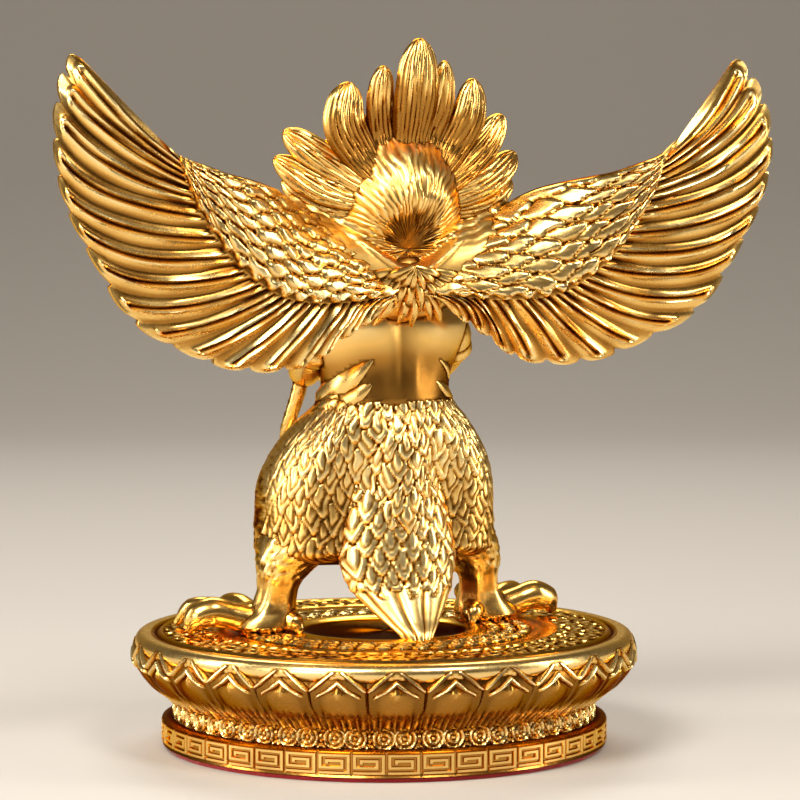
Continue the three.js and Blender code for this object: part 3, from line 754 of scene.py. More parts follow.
    def lock(
        self, line: Stations, halves: tuple[float, ...], ribs: int, lift: float, seed: int,
    ) -> Shell:
        """A flame-like lock: a blade along its line, with ribs along its back and a round tip.

        Across it the back stands out by 0.42 of the half width times sqrt(1 - a^2), plus ribs of
        |cos|^0.6, with a from -1 to 1. Along the last sixth its width falls as a circle does. The
        lower part of an upright lock is darkened with painted shadow, up to a ragged line.

        Args:
            line: points of its middle line.
            halves: half widths along it.
            ribs: number of ribs across.
            lift: how far it is pushed out.
            seed: picks its waver.

        Returns:
            The closed skin.
        """
        turn = np.linspace(0, 0.5 * np.pi - 0.12, 8)
        shares = np.concatenate([np.linspace(0, 0.84, 21)[:-1], 0.84 + 0.16 * np.sin(turn)])
        narrowing = np.concatenate([np.ones(20), np.cos(turn) ** 1.05])
        middle, along, wide, deep = frames_along(line, shares, (0.0, 1.0, 0.0))
        half = (smooth_curve(np.array(halves)[:, None], shares)[:, 0] * narrowing)[:, None]
        across = np.linspace(-1, 1, 4 * ribs + 1)[None, :]
        under = np.linspace(1, -1, 7)[None, 1:-1]
        s = shares[:, None]
        waver = 0.3 * np.sin(5 * s + seed + 3 * across) + 0.22 * np.sin(12 * s + 2.3 * seed + 7 * across)
        rib = np.abs(np.cos(0.5 * np.pi * (ribs * (across + 1) + 1 + waver * (1 - across**4)))) ** 0.6
        thin = np.sqrt(narrowing)[:, None]
        relief = 0.62 * rib * (0.55 + 0.45 * ease(0.0, 0.5, s)) * (1 - across**8) * thin
        lifted = lift * ease(0.1, 0.5, s)
        dome = 0.42 * half * np.sqrt(1 - across**2) + lifted
        below = -self.thickness * np.sqrt(1 - under**2) * thin + lifted
        a = np.concatenate([across + 0 * half, under + 0 * half], axis=1)
        z = np.concatenate([dome + relief - 0.3, below + 0 * half], axis=1)
        rings = middle[:, None] + wide[:, None] * (half * a)[..., None] + deep[:, None] * z[..., None]
        upright = ease(0.45, 0.95, along[-1, 2])
        # painted shadow on the lower part of an upright lock, below a ragged line, over painted shade
        # between the ribs
        shadow_edge = s + 0.05 * np.sin(8 * across + seed) + 0.03 * np.sin(2.1 * ribs * across + 2 * seed)
        back_tone = painted_relief_shading(relief, 1, 1.1) * (1 - 0.62 * upright * ease(0.78, 0.66, shadow_edge))
        plain = np.full((len(half), under.size), 0.5)
        tone = np.concatenate([back_tone.clip(0.03, 1), plain], axis=1)
        return Shell(rings, tone)

    def feathers(self) -> list[Shell]:
        """The soft short feathers of the nape, which spread down and sideways from one point.

        Rows of narrow blades over an egg: each lies along its ray and stands up in its middle,
        on a surface that falls off with the squares of x and of the way down from the point.

        Returns:
            The closed skins.
        """
        shells = [ball(*self.nape_egg, 24, 12)]
        random = np.random.default_rng(9)
        start_x, start_h = self.nape
        for count, near, far, half, widest in self.tufts:
            for angle in np.radians(np.linspace(-widest, widest, count)):
                angle = angle + random.uniform(-0.06, 0.06)
                end = far * random.uniform(0.92, 1.08)
                r = np.array([near, (near + end) / 2, end])
                x, h = start_x + 1.5 * r * np.sin(angle), start_h - r * np.cos(angle)
                down = start_h - h
                y = 22.3 - 0.3 * down - 0.012 * down**2 - 0.012 * x**2 + np.array([-0.4, 0.5, -0.3])
                halves = (half * 0.6, half, half * 0.95, half * 0.4)
                shells.append(limb(tuple(zip(x, y, h)), halves, sides=7, steps=5, flat=0.95))
        return shells

    def shells(self) -> list[Shell]:
        """All skins of the mane and the nape."""
        kinds = zip(self.lines, self.halves, self.ribs, self.lift)
        locks = [self.lock(*kind, seed) for seed, kind in enumerate(kinds)]
        return [self.shell(), *locks, *self.feathers()]


@dataclass
class Body:
    """Torso, the bell of scales over hips and thighs, and the tail.

    A station of the tail has its middle's y and h and half its width and depth. A fold has three
    places, each an angle in degrees and a level, and half its width.
    """

    top: float = 58.5
    row_height: float = 4.5
    scale_columns: int = 12
    back_scales: int = 16
    front_scales: int = 11
    carving: float = 1.45
    even_level: float = 38.0
    blend: float = 3.0
    style: ScaleStyle = ScaleStyle(
        length=1.8, power=1.3, shoulder=0.36, tilt=0.6, rim=0.16, core=0.34, core_width=0.42,
        uneven=0.5, groove=0.16,
    )
    tail_line: Stations = (
        (3, 50, 10, 7.6), (5, 34, 13.6, 8.4), (6.6, 22, 15.4, 8.6), (9.6, 13, 13.6, 7),
        (13, 9, 11, 5.4), (17, 5, 7.6, 4), (20.6, 1.8, 4.6, 3), (22, -0.6, 3, 2.4),
    )
    fold_lines: tuple[tuple[tuple[float, float] | float, ...], ...] = (
        ((60, 70.5), (34, 65.3), (-2, 58.4), 4.4), ((61, 64.8), (37, 60.8), (6, 56), 4.0),
        ((40, 60), (24, 57.6), (0, 54.8), 3.0), ((130, 69.6), (148, 66.6), (166, 63), 1.7),
        ((124, 65), (144, 61.8), (164, 58.4), 1.9),
    )

    def shapes(self, level: Array) -> list[tuple[Array, Array, Array, Array]]:
        """The ellipses that make up the outline at a level: x, y, half width, half depth.

        The thighs part from the trunk as a square grows from the top down, and near the lower
        edge all three draw in as a circle does.

        Args:
            level: heights above the plate.

        Returns:
            The trunk and the two thighs.
        """
        drop = np.clip((self.top - level) / 26, 0, 1)
        flare = 1 - (1 - drop) ** 2
        tuck = np.sqrt(np.maximum(0.08, 1 - (np.clip(21 - level, 0, None) / 4.7) ** 2))
        rise = np.clip((level - 64) / 14, 0, 1)
        wide, deep = 16.5 + 2.5 * rise - 2 * flare, 12.5 - 1.5 * flare
        trunk = (0 * level, 0.5 + 0 * level, wide * tuck, deep * tuck)
        out, forward = 5 + 12.8 * flare, -6.8 * (1 - (1 - drop) ** 1.5)
        thigh = ((11 + 2 * flare) * tuck, (10 + 6 * flare) * tuck)
        return [trunk, (out, forward, *thigh), (-out, forward, *thigh)]

    def reach(self, level: Array, angle: Array) -> Array:
        """How far the body reaches from its axis at a level and an angle.

        The outline is where the sum of exp(blend * (1 - ellipse)) over trunk and thighs is 1,
        which melts them together. It is found by halving, for all points at once.

        Args:
            level: heights, a column.
            angle: angles from the figure's left towards its back, a row.

        Returns:
            The distances.
        """
        shapes = self.shapes(level)
        near = np.zeros(np.broadcast(level, angle).shape)
        far = near + 60
        for _ in range(24):
            r = (near + far) / 2
            total = 0 * r
            for number, (x, y, a, b) in enumerate(shapes):
                inside = ((r * np.cos(angle) - x) / a) ** 2 + ((r * np.sin(angle) - y) / b) ** 2
                part = np.exp(self.blend * (1 - inside))
                total = total + (part if number == 0 else part * (level < self.top))
            near, far = np.where(total > 1, r, near), np.where(total > 1, far, r)
        return near

    def swell(self, level: Array, back: Array) -> Array:
        """How far the bell swells behind, above the place where the tail comes out."""
        return 3.6 * bump(back, 0, 0.55) * ease(58, 46, level) * ease(17, 29, level)

    def columns(self) -> tuple[Array, Array]:
        """Angles of the bell's columns and where they are in scales.

        They have even distances along the outline at one level, finer behind than in front.

        Returns:
            The angles and the places, each a row.
        """
        start, turn = -0.12, np.pi + 0.12
        fine = np.linspace(start, start + TURN, 1441)
        level = np.array([[self.even_level]])
        reach = self.reach(level, fine[None, :]) + self.swell(level, angle_from(BACK, fine[None, :]))
        run = lengths(reach[0] * np.cos(fine), reach[0] * np.sin(fine))
        middle, end = np.interp(turn, fine, run), run[-1]
        behind = np.linspace(0, middle, self.back_scales * self.scale_columns, endpoint=False)
        before = np.linspace(middle, end, self.front_scales * 4, endpoint=False)
        even = np.concatenate([behind, before])
        scales = (0, self.back_scales, self.back_scales + self.front_scales)
        places = np.interp(even, (0, middle, end), scales)
        return np.interp(even, run, fine)[None, :], places[None, :]

    def skirt(self) -> Shell:
        """The bell of scales, which hang in rows from the hips to above the shanks.

        The height is the scale carving over the melted outline, which swells behind down to where
        the tail comes out. Towards the front the scales grow flatter, and on the thighs' outer
        sides they give way to brushed skin. Low on the flanks the colour is darker and warmer, painted
        shade with a painted reflection of the gold plinth.

        Returns:
            The closed skin.
        """
        angle, scale = self.columns()
        steps = self.row_height / 9.5
        level = np.arange(17.9, self.top + 2.4, steps)
        level = np.concatenate([[16.3, 16.45, 16.8, 17.3], level])[:, None]
        back = angle_from(BACK, angle)
        around = np.abs(back)
        reach = self.reach(level, angle) + self.swell(level, back)
        reach = reach - 0.9 * ease(52, 58, level) - 0.5 * ease(57, 60.5, level)
        down = (self.top + 1.8 - level) / self.row_height
        waver = 0.09 * np.sin(2.1 * down + 5 * angle) + 0.05 * np.sin(5.3 * down - 11 * angle)
        uneven = 0.12 * np.sin(7 * angle) + 0.07 * np.sin(17 * angle)
        scales = self.style.carve(scale + waver, down + uneven)
        bare = ease(1.3, 1.62, around) * ease(1.05, 0.75, np.abs(around - 1.85)) * ease(24, 30, level)
        front = ease(1.6, 2.0, around)
        brushed = 0.09 * np.sin(9.1 * level + 4 * np.sin(5 * angle)) * np.sin(4.3 * level - 11 * angle)
        relief = self.carving * scales * (1 - 0.75 * bare) * (1 - 0.3 * front) + brushed * bare
        # painted shade with a warm painted reflection of the plinth, low on the flanks
        low_painted_reflection = 0.36 * ease(44, 26, level + 5 * np.cos(6 * angle)) * ease(0.35, 0.8, around)
        # painted shade in the scales' grooves and painted highlight on their crests
        tone = (painted_relief_shading(relief, 2, 2.7) + 0.04 - low_painted_reflection).clip(0.03, 1)
        return Shell(around_axis(reach + relief, angle, level), tone, 0.16)

    def torso(self) -> Shell:
        """The smooth torso, with shoulder blades, a spine groove, a breast and a belly.

        Bell-shaped bumps and grooves in angle and level are added to the melted outline, and
        above level 77 the outline closes as a circle does. The muscles are paler than the hollows,
        painted highlight and shade, and the back grows paler upwards, painted light from above.

        Returns:
            The closed skin.
        """
        angle = circle(84)
        level = np.concatenate([np.linspace(55, 82, 28), [84, 86, 87.5, 88.3]])[:, None]
        reach, relief = self.torso_reach(level, angle)
        # painted light: paler on the muscles and towards the top, painted shade in the hollows and low
        # down
        tone = np.clip(0.16 + 0.12 * relief + 0.3 * ease(63, 76, level), 0.08, 0.8)
        return Shell(around_axis(reach, angle, level), tone, 0.05)

    def torso_reach(self, level: Array, angle: Array) -> tuple[Array, Array]:
        """How far the torso reaches from the axis, and its muscles alone.

        Args:
            level: heights, a column.
            angle: angles, a row.

        Returns:
            The distances, and the part of them that is muscle, both in millimetres.
        """
        closing = np.sqrt(np.maximum(0.05, 1 - (np.clip(level - 77, 0, None) / 11.6) ** 2))
        back, front = angle_from(BACK, angle), angle_from(FRONT, angle)
        blades = 2.2 * twin(back, 0.62, 0.38) * bump(level, 77, 5.5)
        flanks = 2.6 * twin(back, 1.3, 0.4) * bump(level, 76, 8)
        spine = -0.6 * bump(back, 0, 0.15) * ease(57, 66, level)
        hollows = -0.5 * twin(back, 0.5, 0.25) * bump(level, 66, 5)
        loins = 0.3 * twin(back, 0.22, 0.16) * bump(level, 64, 7)
        breast = 2.2 * twin(front, 0.5, 0.42) * bump(level, 76, 5)
        belly = 1.6 * bump(front, 0, 0.75) * bump(level, 64.5, 4.5)
        belly = belly - 0.7 * bump(level, 69.5, 1) * bump(front, 0, 0.7)
        relief = blades + flanks + spine + hollows + loins + breast + belly
        return (self.reach(level, angle) - 0.9 * ease(59, 56, level) + relief) * closing, relief

    def folds(self) -> list[Shell]:
        """Leaf-shaped folds on the flanks, just over the scales, which lie along the torso.

        Returns:
            The closed skins.
        """
        shells = []
        for *line, half in self.fold_lines:
            places = np.array(line, float)
            angle, level = np.radians(places[:, :1]), places[:, 1:]
            reach = np.concatenate([self.torso_reach(h[None], a[None])[0] for h, a in zip(level, angle)])
            points = around_axis(reach - 0.25 * half, angle, level)[:, 0]
            out = (float(np.cos(angle[1, 0])), float(np.sin(angle[1, 0])), 0.25)
            halves = (0.12 * half, 0.5 * half, 0.85 * half, half, 0.6 * half)
            shells.append(limb(points, halves, sides=14, steps=14, flat=0.45, towards=out))
        return shells

    def tail(self) -> Shell:
        """The tail: scales that go on from the bell's, then long smooth feathers to the tip.

        Rings are ellipses along the tail's line. The back half of each ring is carved: scales,
        six across, for the first 40 mm, and after that long feathers that draw together.

        Returns:
            The closed skin.
        """
        path = smooth_curve(self.tail_line, np.linspace(0, 1, 400))
        run = lengths(path[:, 0], path[:, 1])
        length = np.arange(12, run[-1], 0.45)
        length = np.concatenate([np.linspace(0, 12, 5)[:-1], length, [run[-1]]])[:, None]
        back, up, wide, deep = (np.interp(length, run, path[:, i]) for i in range(4))
        angle = np.concatenate([np.linspace(0, np.pi, 70), np.linspace(np.pi, TURN, 12)[1:-1]])[None, :]
        cross = 0.5 - 0.5 * np.cos(np.clip(angle, 0, np.pi))
        down = length / (self.row_height + 0.3) + 0.2
        scales = self.style.carve(5.4 * (cross - 0.5) + 0.25, down + 0.1 * np.sin(9 * cross))
        feather = 3.6 * cross + 0.2
        plates = 1 - (2 * np.abs(feather - np.round(feather))) ** 3
        edge = 40.6 + 1.6 * np.cos(TURN * feather)
        low = ease(edge - 0.5, edge + 0.5, length)
        relief = 1.4 * scales * (1 - low) + (0.8 * plates - 0.1) * low
        relief = relief * ease(0.0, 0.1, np.sin(angle))
        x, y = (wide + relief) * np.cos(angle), back + (deep + relief) * np.sin(angle)
        # painted shade in the grooves between scales and feathers, painted highlight on their crests
        tone = (painted_relief_shading(relief, 2, 2.7) + 0.04).clip(0.03, 1)
        return Shell(np.stack([x, y, up + 0 * x], axis=-1), tone, 0.16)

    def shells(self) -> list[Shell]:
        """All skins of the body."""
        return [self.torso(), self.skirt(), self.tail(), *self.folds()]


@dataclass
class Limbs:
    """Face, arms, the snake in the hands, shanks and toes: all that is a limb or an egg.

    The lines are those of the left side. A band of an arm has its share of the arm's line and
    half its width, and a finger has its level and curls as all of them do. A row of the leg has its level, its middle's x and y and its half widths.
    """

    head: Place = (0, 6, 105)
    head_radii: Place = (11.5, 12.5, 12.5)
    beak: Stations = ((0, -2, 104.6), (0, -10.6, 103.6), (0, -15.6, 99.6), (0, -16.6, 94.2))
    jaw: Stations = ((0, -1, 98.4), (0, -7.4, 97.2), (0, -12.4, 96))
    brow: Stations = ((2.2, -5.9, 109.2), (6.3, -5.9, 111.2), (10.6, -1.2, 112))
    gape: Stations = ((2, -13.4, 97.6), (5, -8, 99.2), (8.4, -2.2, 101))
    lid: Stations = ((3.4, -6.6, 105.6), (5.9, -7.2, 104.8), (8.2, -4.4, 105.8))
    eye: Place = (5.6, -5.4, 107)
    cheek_style: ScaleStyle = ScaleStyle(
        length=1.7, power=1.8, shoulder=0.3, tilt=0.6, rim=0.1, core=0.3, core_width=0.6,
    )
    arm: Stations = ((13, 4, 80), (17.8, 0.5, 73), (17.6, -9, 65.5), (14.5, -17, 65), (10.5, -21.5, 68))
    bands: tuple[tuple[float, float], ...] = ((0.3, 5.5), (0.9, 3.5))
    hand: Stations = ((10.5, -21.5, 66), (9.6, -24, 70))
    fingers: tuple[float, ...] = (64.6, 66.6, 68.6, 70.6)
    curl: Stations = ((12.4, -22.8, 0), (11.6, -26.6, 0.3), (8.4, -27.6, 0.5), (6.6, -25.4, 0.4))
    snake: Stations = (
        (-3, -14, 96), (-9, -20, 86), (-11, -24, 75), (-9.6, -24.5, 68), (-2, -22, 60),
        (6, -23, 62), (10.5, -24.5, 70), (14, -20, 74), (17, -11, 70), (18.5, -11.5, 60),
        (20.5, -15, 50), (19, -21, 44),
    )
    outer_toe: Stations = (
        (29, -5.4, 4.4), (34.5, -5.2, 3.5), (39.5, -5.4, 4.8), (43.8, -5.8, 5.7), (47.6, -6.4, 4.4),
        (49.6, -7, 1.6),
    )
    toes: tuple[Stations, ...] = (
        ((30, -8, 4), (35, -12.4, 3.6), (40, -16, 5.0), (44.6, -19.6, 4.8), (47.6, -22, 1.2)),
        ((29, -9, 4), (30.4, -15, 3.6), (31.6, -20.5, 5.0), (32.8, -25.6, 4.6), (33.4, -29, 1.2)),
        ((28.5, -6, 3.6), (27.0, -3.8, 3.4), (25.4, -1.6, 3.4), (24.0, 0.4, 2.4), (23.2, 1.8, 0.8)),
    )
    foot_ball: Place = (30.2, -5.4, 2.4)
    leg_rows: Stations = (
        (28, 18.4, -5.8, 10.6, 12), (24, 19.6, -5.2, 11.2, 12.6), (21, 21.0, -4.6, 10.7, 11.4),
        (19, 22.8, -4.0, 9.1, 9.4), (17, 24.6, -3.5, 7.6, 7.6), (15.4, 25.7, -3.1, 6.4, 6.4),
        (13.5, 26.6, -3.0, 5.5, 5.6), (11, 27.3, -3.4, 5.0, 5.1), (8, 27.8, -4.2, 5.3, 5.3),
        (5.6, 28.6, -4.8, 6.4, 6.0), (3.6, 29.8, -5.2, 8.0, 6.8), (1.9, 30.4, -5.4, 8.6, 7.2),
    )
    leg_style: ScaleStyle = ScaleStyle(
        length=1.7, power=1.4, shoulder=0.36, tilt=0.6, rim=0.25, core=0.3, core_width=0.4,
        uneven=0.5, groove=0.15,
    )

    def face(self) -> list[Shell]:
        """A plain bird's face: feathered cheeks, a hooked beak with its gape, brows and eyes.

        Returns:
            The closed skins.
        """
        rise, angle = np.linspace(0.1, 3.04, 33)[:, None], circle(72)
        relief = 0.7 * self.cheek_style.carve(22 * angle / TURN, 7 - 2.2 * rise) * bump(rise, 1.6, 0.95)
        radii = np.array(self.head_radii) + relief[..., None]
        head = np.array(self.head) + radii * ellipsoid(rise, angle)
        shells = [
            # the cheek feathers carry painted shade in their grooves and painted highlight on their
            # crests
            Shell(head, painted_relief_shading(relief, 2, 0.8)),
            limb(self.beak, (6.2, 5, 3.1, 0.7), 28, 26, flat=0.9, towards=(0, 1, 0.3), gloss=0.7),
            limb(self.jaw, (4.6, 3.6, 1.6), 20, 12, flat=0.55, towards=(0, 0.2, 1), gloss=0.7),
        ]
        for side in Side:
            shells.append(limb(on_side(self.brow, side), (1.3, 1.8, 0.9), 12, 12))
            shells.append(limb(on_side(self.gape, side), (0.6, 0.9, 0.7), 10, 12))
            shells.append(ball(on_side((self.eye,), side)[0], (2.1, 2.0, 2.1), 18, 12, gloss=1.0))
            shells.append(limb(on_side(self.lid, side), (0.4, 0.7, 0.4), 8, 10))
        return shells

    def arms(self) -> list[Shell]:
        """Arms with a band above each elbow and at each wrist, and hands with four curled fingers.

        Returns:
            The closed skins.
        """
        shells = []
        for side in Side:
            line = on_side(self.arm, side)
            shells.append(limb(line, (5.4, 5.3, 4.3, 3.6, 3.0), 24, 36))
            for share, half in self.bands:
                around = smooth_curve(line, np.linspace(share - 0.025, share + 0.025, 4))
                shells.append(limb(around, (half, half + 0.5, half), 24, 6))
            shells.append(limb(on_side(self.hand, side), (3.1, 3.3), 18, 8))
            for level in self.fingers:
                curl = tuple((x, y, level + up) for x, y, up in self.curl)
                shells.append(limb(on_side(curl, side), (1.0, 1.15, 1.05, 0.8), 10, 10))
        return shells

    def snake_body(self) -> Shell:
        """The snake, with small scales along it.

        Height = 0.16 * cos(a third of a turn * ring), half a turn on in every second column.

        Returns:
            The closed skin.
        """
        steps, sides = 110, 12
        place = np.arange(steps + 1)[:, None]
        relief = 0.16 * np.cos(TURN * place / 3 + np.pi * (np.arange(sides)[None, :] % 2))
        halves = (2, 2.2, 2.3, 2.3, 2.3, 2.3, 2.3, 2.2, 2, 1.9, 1.6, 0.8)
        return limb(self.snake, halves, sides, steps, towards=(0.1, 1, 0.05), relief=relief)

    def toe(
        self, line: Stations, halves: tuple[float, ...], sides: int, steps: int, flutes: int,
        height: float,
    ) -> Shell:
        """A polished arched toe with flutes on its claw, whose height is a cosine of the angle.

        Args:
            line: points of its middle line.
            halves: half widths along it.
            sides: points in a ring.
            steps: rings along the line.
            flutes: how many there are round the claw.
            height: their height.

        Returns:
            The closed skin.
        """
        share = np.linspace(0, 1, steps + 1)[:, None]
        relief = height * np.cos(flutes * circle(sides) + 5 * share) * ease(0.7, 0.9, share)
        return limb(line, halves, sides, steps, relief=relief, gloss=0.45)

    def feet(self) -> list[Shell]:
        """The legs, with four toes and a ball under each.

        Returns:
            The closed skins.
        """
        shells = []
        for side in Side:
            shells.append(self.leg(side))
            outer = on_side(self.outer_toe, side)
            shells.append(self.toe(outer, (4.8, 3.7, 3.4, 3.8, 3.4, 1.5), 24, 36, 7, 0.14))
            for line in self.toes:
                line = on_side(line, side)
                shells.append(self.toe(line, (4.0, 3.2, 3.0, 2.6, 1.0), 16, 20, 6, 0.12))
            middle = on_side((self.foot_ball,), side)[0]
            shells.append(ball(middle, (7.6, 6.4, 3.2), 24, 14, gloss=0.4))
        return shells

    def leg(self, side: Side) -> Shell:
        """A leg: the thigh's end, where the scales draw in from the bell, and the smooth shank.

        Level rings are read between the leg's rows. The scales end in a ragged line, and below
        it the shank has flat flutes.

        Args:
            side: the leg's side.

        Returns:
            The closed skin.
        """
        rows = np.array(self.leg_rows)[::-1]
        level = np.concatenate([np.linspace(28, 14.5, 27), np.linspace(13.8, 2.4, 15), [1.9]])[:, None]
        x, y, wide, deep = (np.interp(level, rows[:, 0], rows[:, i]) for i in range(1, 5))
        angle = circle(60)
        down = (28 - level) / 3.9
        waver = 0.1 * np.sin(3 * angle + down)
        scales = self.leg_style.carve(13 * angle / TURN + waver, down + 0.15 * np.sin(5 * angle))
        ragged = 13.4 + 0.9 * np.sin(5 * angle) + 0.5 * np.sin(11 * angle + 1)
        scaly = ease(ragged - 1.2, ragged + 1.4, level)
        flutes = 0.22 * np.cos(6 * angle + 0.1 * level) * ease(3, 6, level)
        relief = 0.95 * scales * scaly + flutes * (1 - scaly)
        out_x, out_y = x + (wide + relief) * np.cos(angle), y + (deep + relief) * np.sin(angle)
        rings = np.stack([side * out_x, out_y, level + 0 * out_x], axis=-1)
        # painted shade in the grooves of scales and flutes, painted highlight on their crests
        return Shell(rings, painted_relief_shading(relief, 2, 1.2), 0.35)

    def shells(self) -> list[Shell]:
        """All skins of the limbs."""
        return [*self.face(), *self.arms(), self.snake_body(), *self.feet()]


@dataclass
class Plinth:
    """The lotus plinth: foot with a key pattern, band of swirls, bowl of petals, lip and plate.

    All sizes are millimetres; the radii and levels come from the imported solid's box. A bar of a
    key has its left, right, lower and upper side in a cell of 9 by 6 units, and a ring of beads
    has its radius and count.
    """

    bowl_radius: float
    top: float
    bottom: float
    petals: int = 28
    keys: int = 42
    swirls: int = 28
    foot_inset: float = 7.5
    band_inset: float = 10.5
    band_level: float = 6.4
    bowl_inset: float = 10.6
    bowl_level: float = 11.4
    bowl_height: float = 10.94
    bulge: float = 0.77
    key_cell: tuple[float, float] = (9.0, 6.0)
    key_bars: Stations = (
        (0.35, 8.65, 0.25, 1.05), (7.7, 8.65, 0.25, 5.75), (0.35, 8.65, 4.95, 5.75),
        (0.35, 1.3, 1.65, 5.75), (0.35, 7.05, 1.65, 2.45), (6.1, 7.05, 1.65, 4.35),
        (2.1, 7.05, 3.5, 4.35), (2.1, 3.05, 3.0, 4.35),
    )
    bead_rings: tuple[tuple[float, int], ...] = ((35.3, 48), (31.5, 42), (27.7, 36))
    scroll_style: ScaleStyle = ScaleStyle(
        length=1.4, power=2.0, shoulder=0.2, tilt=0.2, rim=0.7, core=0.7, core_width=0.3,
    )

    def foot(self) -> Shell:
        """The foot with a row of square spirals.

        A spiral is the highest of eight bars. A bar's height is 1 inside its rectangle and falls
        to 0 over 0.2 of a unit, and the grid has its rows and columns beside the bars' edges.

        Returns:
            The closed skin.
        """
        bars, soft = np.array(self.key_bars), 0.1
        wide, tall = self.key_cell
        edges_u, edges_v = np.unique(bars[:, :2]), np.unique(bars[:, 2:])
        u = np.sort(np.concatenate([edges_u - soft, edges_u + soft, [4.6]]))
        v = np.sort(np.concatenate([edges_v - soft, edges_v + soft]))
        height = np.zeros((len(v), len(u)))
        for left, right, low, high in bars:
            inside_u, inside_v = np.minimum(u - left, right - u), np.minimum(v - low, high - v)
            inside = np.minimum(inside_u[None, :], inside_v[:, None])
            height = np.maximum(height, ease(-soft * 1.01, soft * 1.01, inside))
        angle = ((np.arange(self.keys)[:, None] + u[None, :] / wide) / self.keys).ravel() * TURN
        level = self.bottom + np.concatenate([[0, 0.35], 0.9 + v / tall * 5.3, [6.5, 6.8]])
        inward = np.concatenate([[0.8, 0.1], np.full(len(v), 0.45), [0.1, 0.9]])
        relief = np.pad(np.tile(height, (1, self.keys)) * 0.55, ((2, 2), (0, 0)))
        reach = self.bowl_radius - self.foot_inset - inward[:, None] + relief
        # painted shade on the ground between the bars and painted highlight on the raised bars
        return Shell(around_axis(reach, angle, level[:, None]), 0.28 + 0.55 * relief, 0.45)

    def band(self) -> Shell:
        """The band of swirls: rings around the nearest of its centres, which stand in pairs.

        The height is a cosine of the distance from the centre of a cell within its eye, and
        outside it from the nearest centre between the cells.

        Returns:
            The closed skin.
        """
        steps, rows, eye, period = 44, 17, 3.1, 1.25
        radius = self.bowl_radius - self.band_inset
        pair = TURN * radius / self.swirls
        u = pair * (np.arange(self.swirls * steps)[None, :] / steps % 1 - 0.5)
        v = np.linspace(-0.2, 5.3, rows)[:, None]
        near = np.hypot(np.abs(u) - 0.21 * pair, v - 2.75)
        far = np.minimum(np.hypot(np.abs(u) - 0.5 * pair, v + 0.4), np.hypot(u, v + 1.2))
        rings = np.cos(TURN * np.where(near < eye, near, far) / period)
        relief = 0.3 * rings - 0.15 * bump(near, eye, 0.3)
        level = self.bottom + self.band_level + v
        points = around_axis(radius + relief, circle(u.size), level)
        # painted shade in the grooves between rings and painted highlight on the ridges
        return Shell(points, 0.52 + 1.3 * relief, 0.35)

    def bowl(self) -> Shell:
        """The bowl of lotus petals.

        Its rows bend down from a petal's middle to its sides, so that the petal's two chevrons run
        along rows: the outer one goes up under the lip, the inner one is short and complete. Over
        the outer one the wall is sunk. Under the inner one stands a dome with a drop at its top,
        and low down tongues run out to the wavy lower edge.

        Returns:
            The closed skin.
        """
        half = np.array([
            0, 0.05, 0.11, 0.18, 0.26, 0.34, 0.42, 0.5, 0.57, 0.61, 0.65, 0.72, 0.8, 0.88, 0.94,
            0.975, 1.0,
        ])
        p = np.concatenate([-half[:0:-1], half[:-1]])
        steps = len(p)
        number = np.arange(steps * self.petals)[None, :]
        angle = TURN * (number // steps + 0.5 * (p[number % steps] + 1)) / self.petals
        p, side = p[number % steps], np.abs(p[number % steps])
        r = np.concatenate([
            np.linspace(0, 0.36, 10), np.linspace(0.42, 0.8, 6), [0.805, 0.82, 0.835, 0.855, 0.87],
            [0.89, 0.93, 0.97, 0.985, 1.0, 1.025, 1.04, 1.06, 1.14, 1.28],
        ])[:, None]
        v = r - 0.28 * side * ease(0.25, 0.7, r)
        inner = between(0.805, 0.83, 0.865, 0.885, r) * ease(0.76, 0.7, side)
        outer = between(0.975, 0.998, 1.03, 1.055, r) * ease(1.0, 0.96, side)
        outside = ease(1.045, 1.065, r)
        dome = np.sqrt(np.clip(1 - (side / 0.62) ** 2.5, 0, 1))
        dome = dome * ease(0.83, 0.68, r) * ease(0.1, 0.35, v)
        drop = bump(p, 0, 0.13) * bump(v, 0.68, 0.05)
        joint = bump(side, 1, 0.035) * ease(0.8, 0.7, v)
        tongue = np.cos(TURN * number / 4) * ease(0.42, 0.1, v)
        relief = 1.2 * inner + 1.05 * outer + 0.7 * dome + 0.6 * drop - 0.8 * outside
        relief = (relief - 0.6 * joint + 0.55 * tongue) * ease(0.0, 0.06, v)
        under = np.clip(v / self.bulge, 0, 1)
        over = np.pi * 0.62 * np.clip(v - self.bulge, 0, None)
        reach = self.bowl_radius - self.bowl_inset
        reach = reach + 9.7 * (1 - (1 - under) ** 1.8) - 10.5 * (1 - np.cos(over))
        level = self.bottom + self.bowl_level + self.bowl_height * (under + np.sin(over))
        wavy = 0.5 + 0.5 * np.cos(TURN * number / 8 + 1.5 * np.sin(TURN * number / 32))
        level = np.minimum(level - 0.9 * wavy * ease(0.12, 0, v), self.top - 1.6)
        # painted dark reflection on the petals' ground, painted highlight on the chevrons, the drop, the
        # dome and the tongues low down
        low_down = (0.1 + 0.6 * np.clip(tongue, 0, 1)) * ease(0.36, 0.1, v)
        tone = 0.13 + 0.8 * inner + 0.75 * outer + 0.3 * drop + low_down + 0.1 * dome
        return Shell(around_axis(reach + relief, angle, level), np.clip(tone, 0.03, 1), 0.3)

    def lip(self) -> Shell:
        """The smooth rounded rim over the petals, closed by rings down inside the bowl.

        Returns:
            The closed skin.
        """
        outer, inner, round_by = self.bowl_radius - 0.8, 50, 2.3
        turn = np.linspace(-0.5 * np.pi, 0.5 * np.pi, 13)
        rim = outer - round_by + round_by * np.cos(turn)
        radius = np.concatenate([[inner, outer - 4], rim, [outer - 4, inner]])[:, None]
        level = np.concatenate([[-5.6, -4.9], -2.45 + 2.4 * np.sin(turn), [-0.25, -2.5]])[:, None]
        return Shell(around_axis(radius, circle(280), level + self.top), 0.75, 0.35)

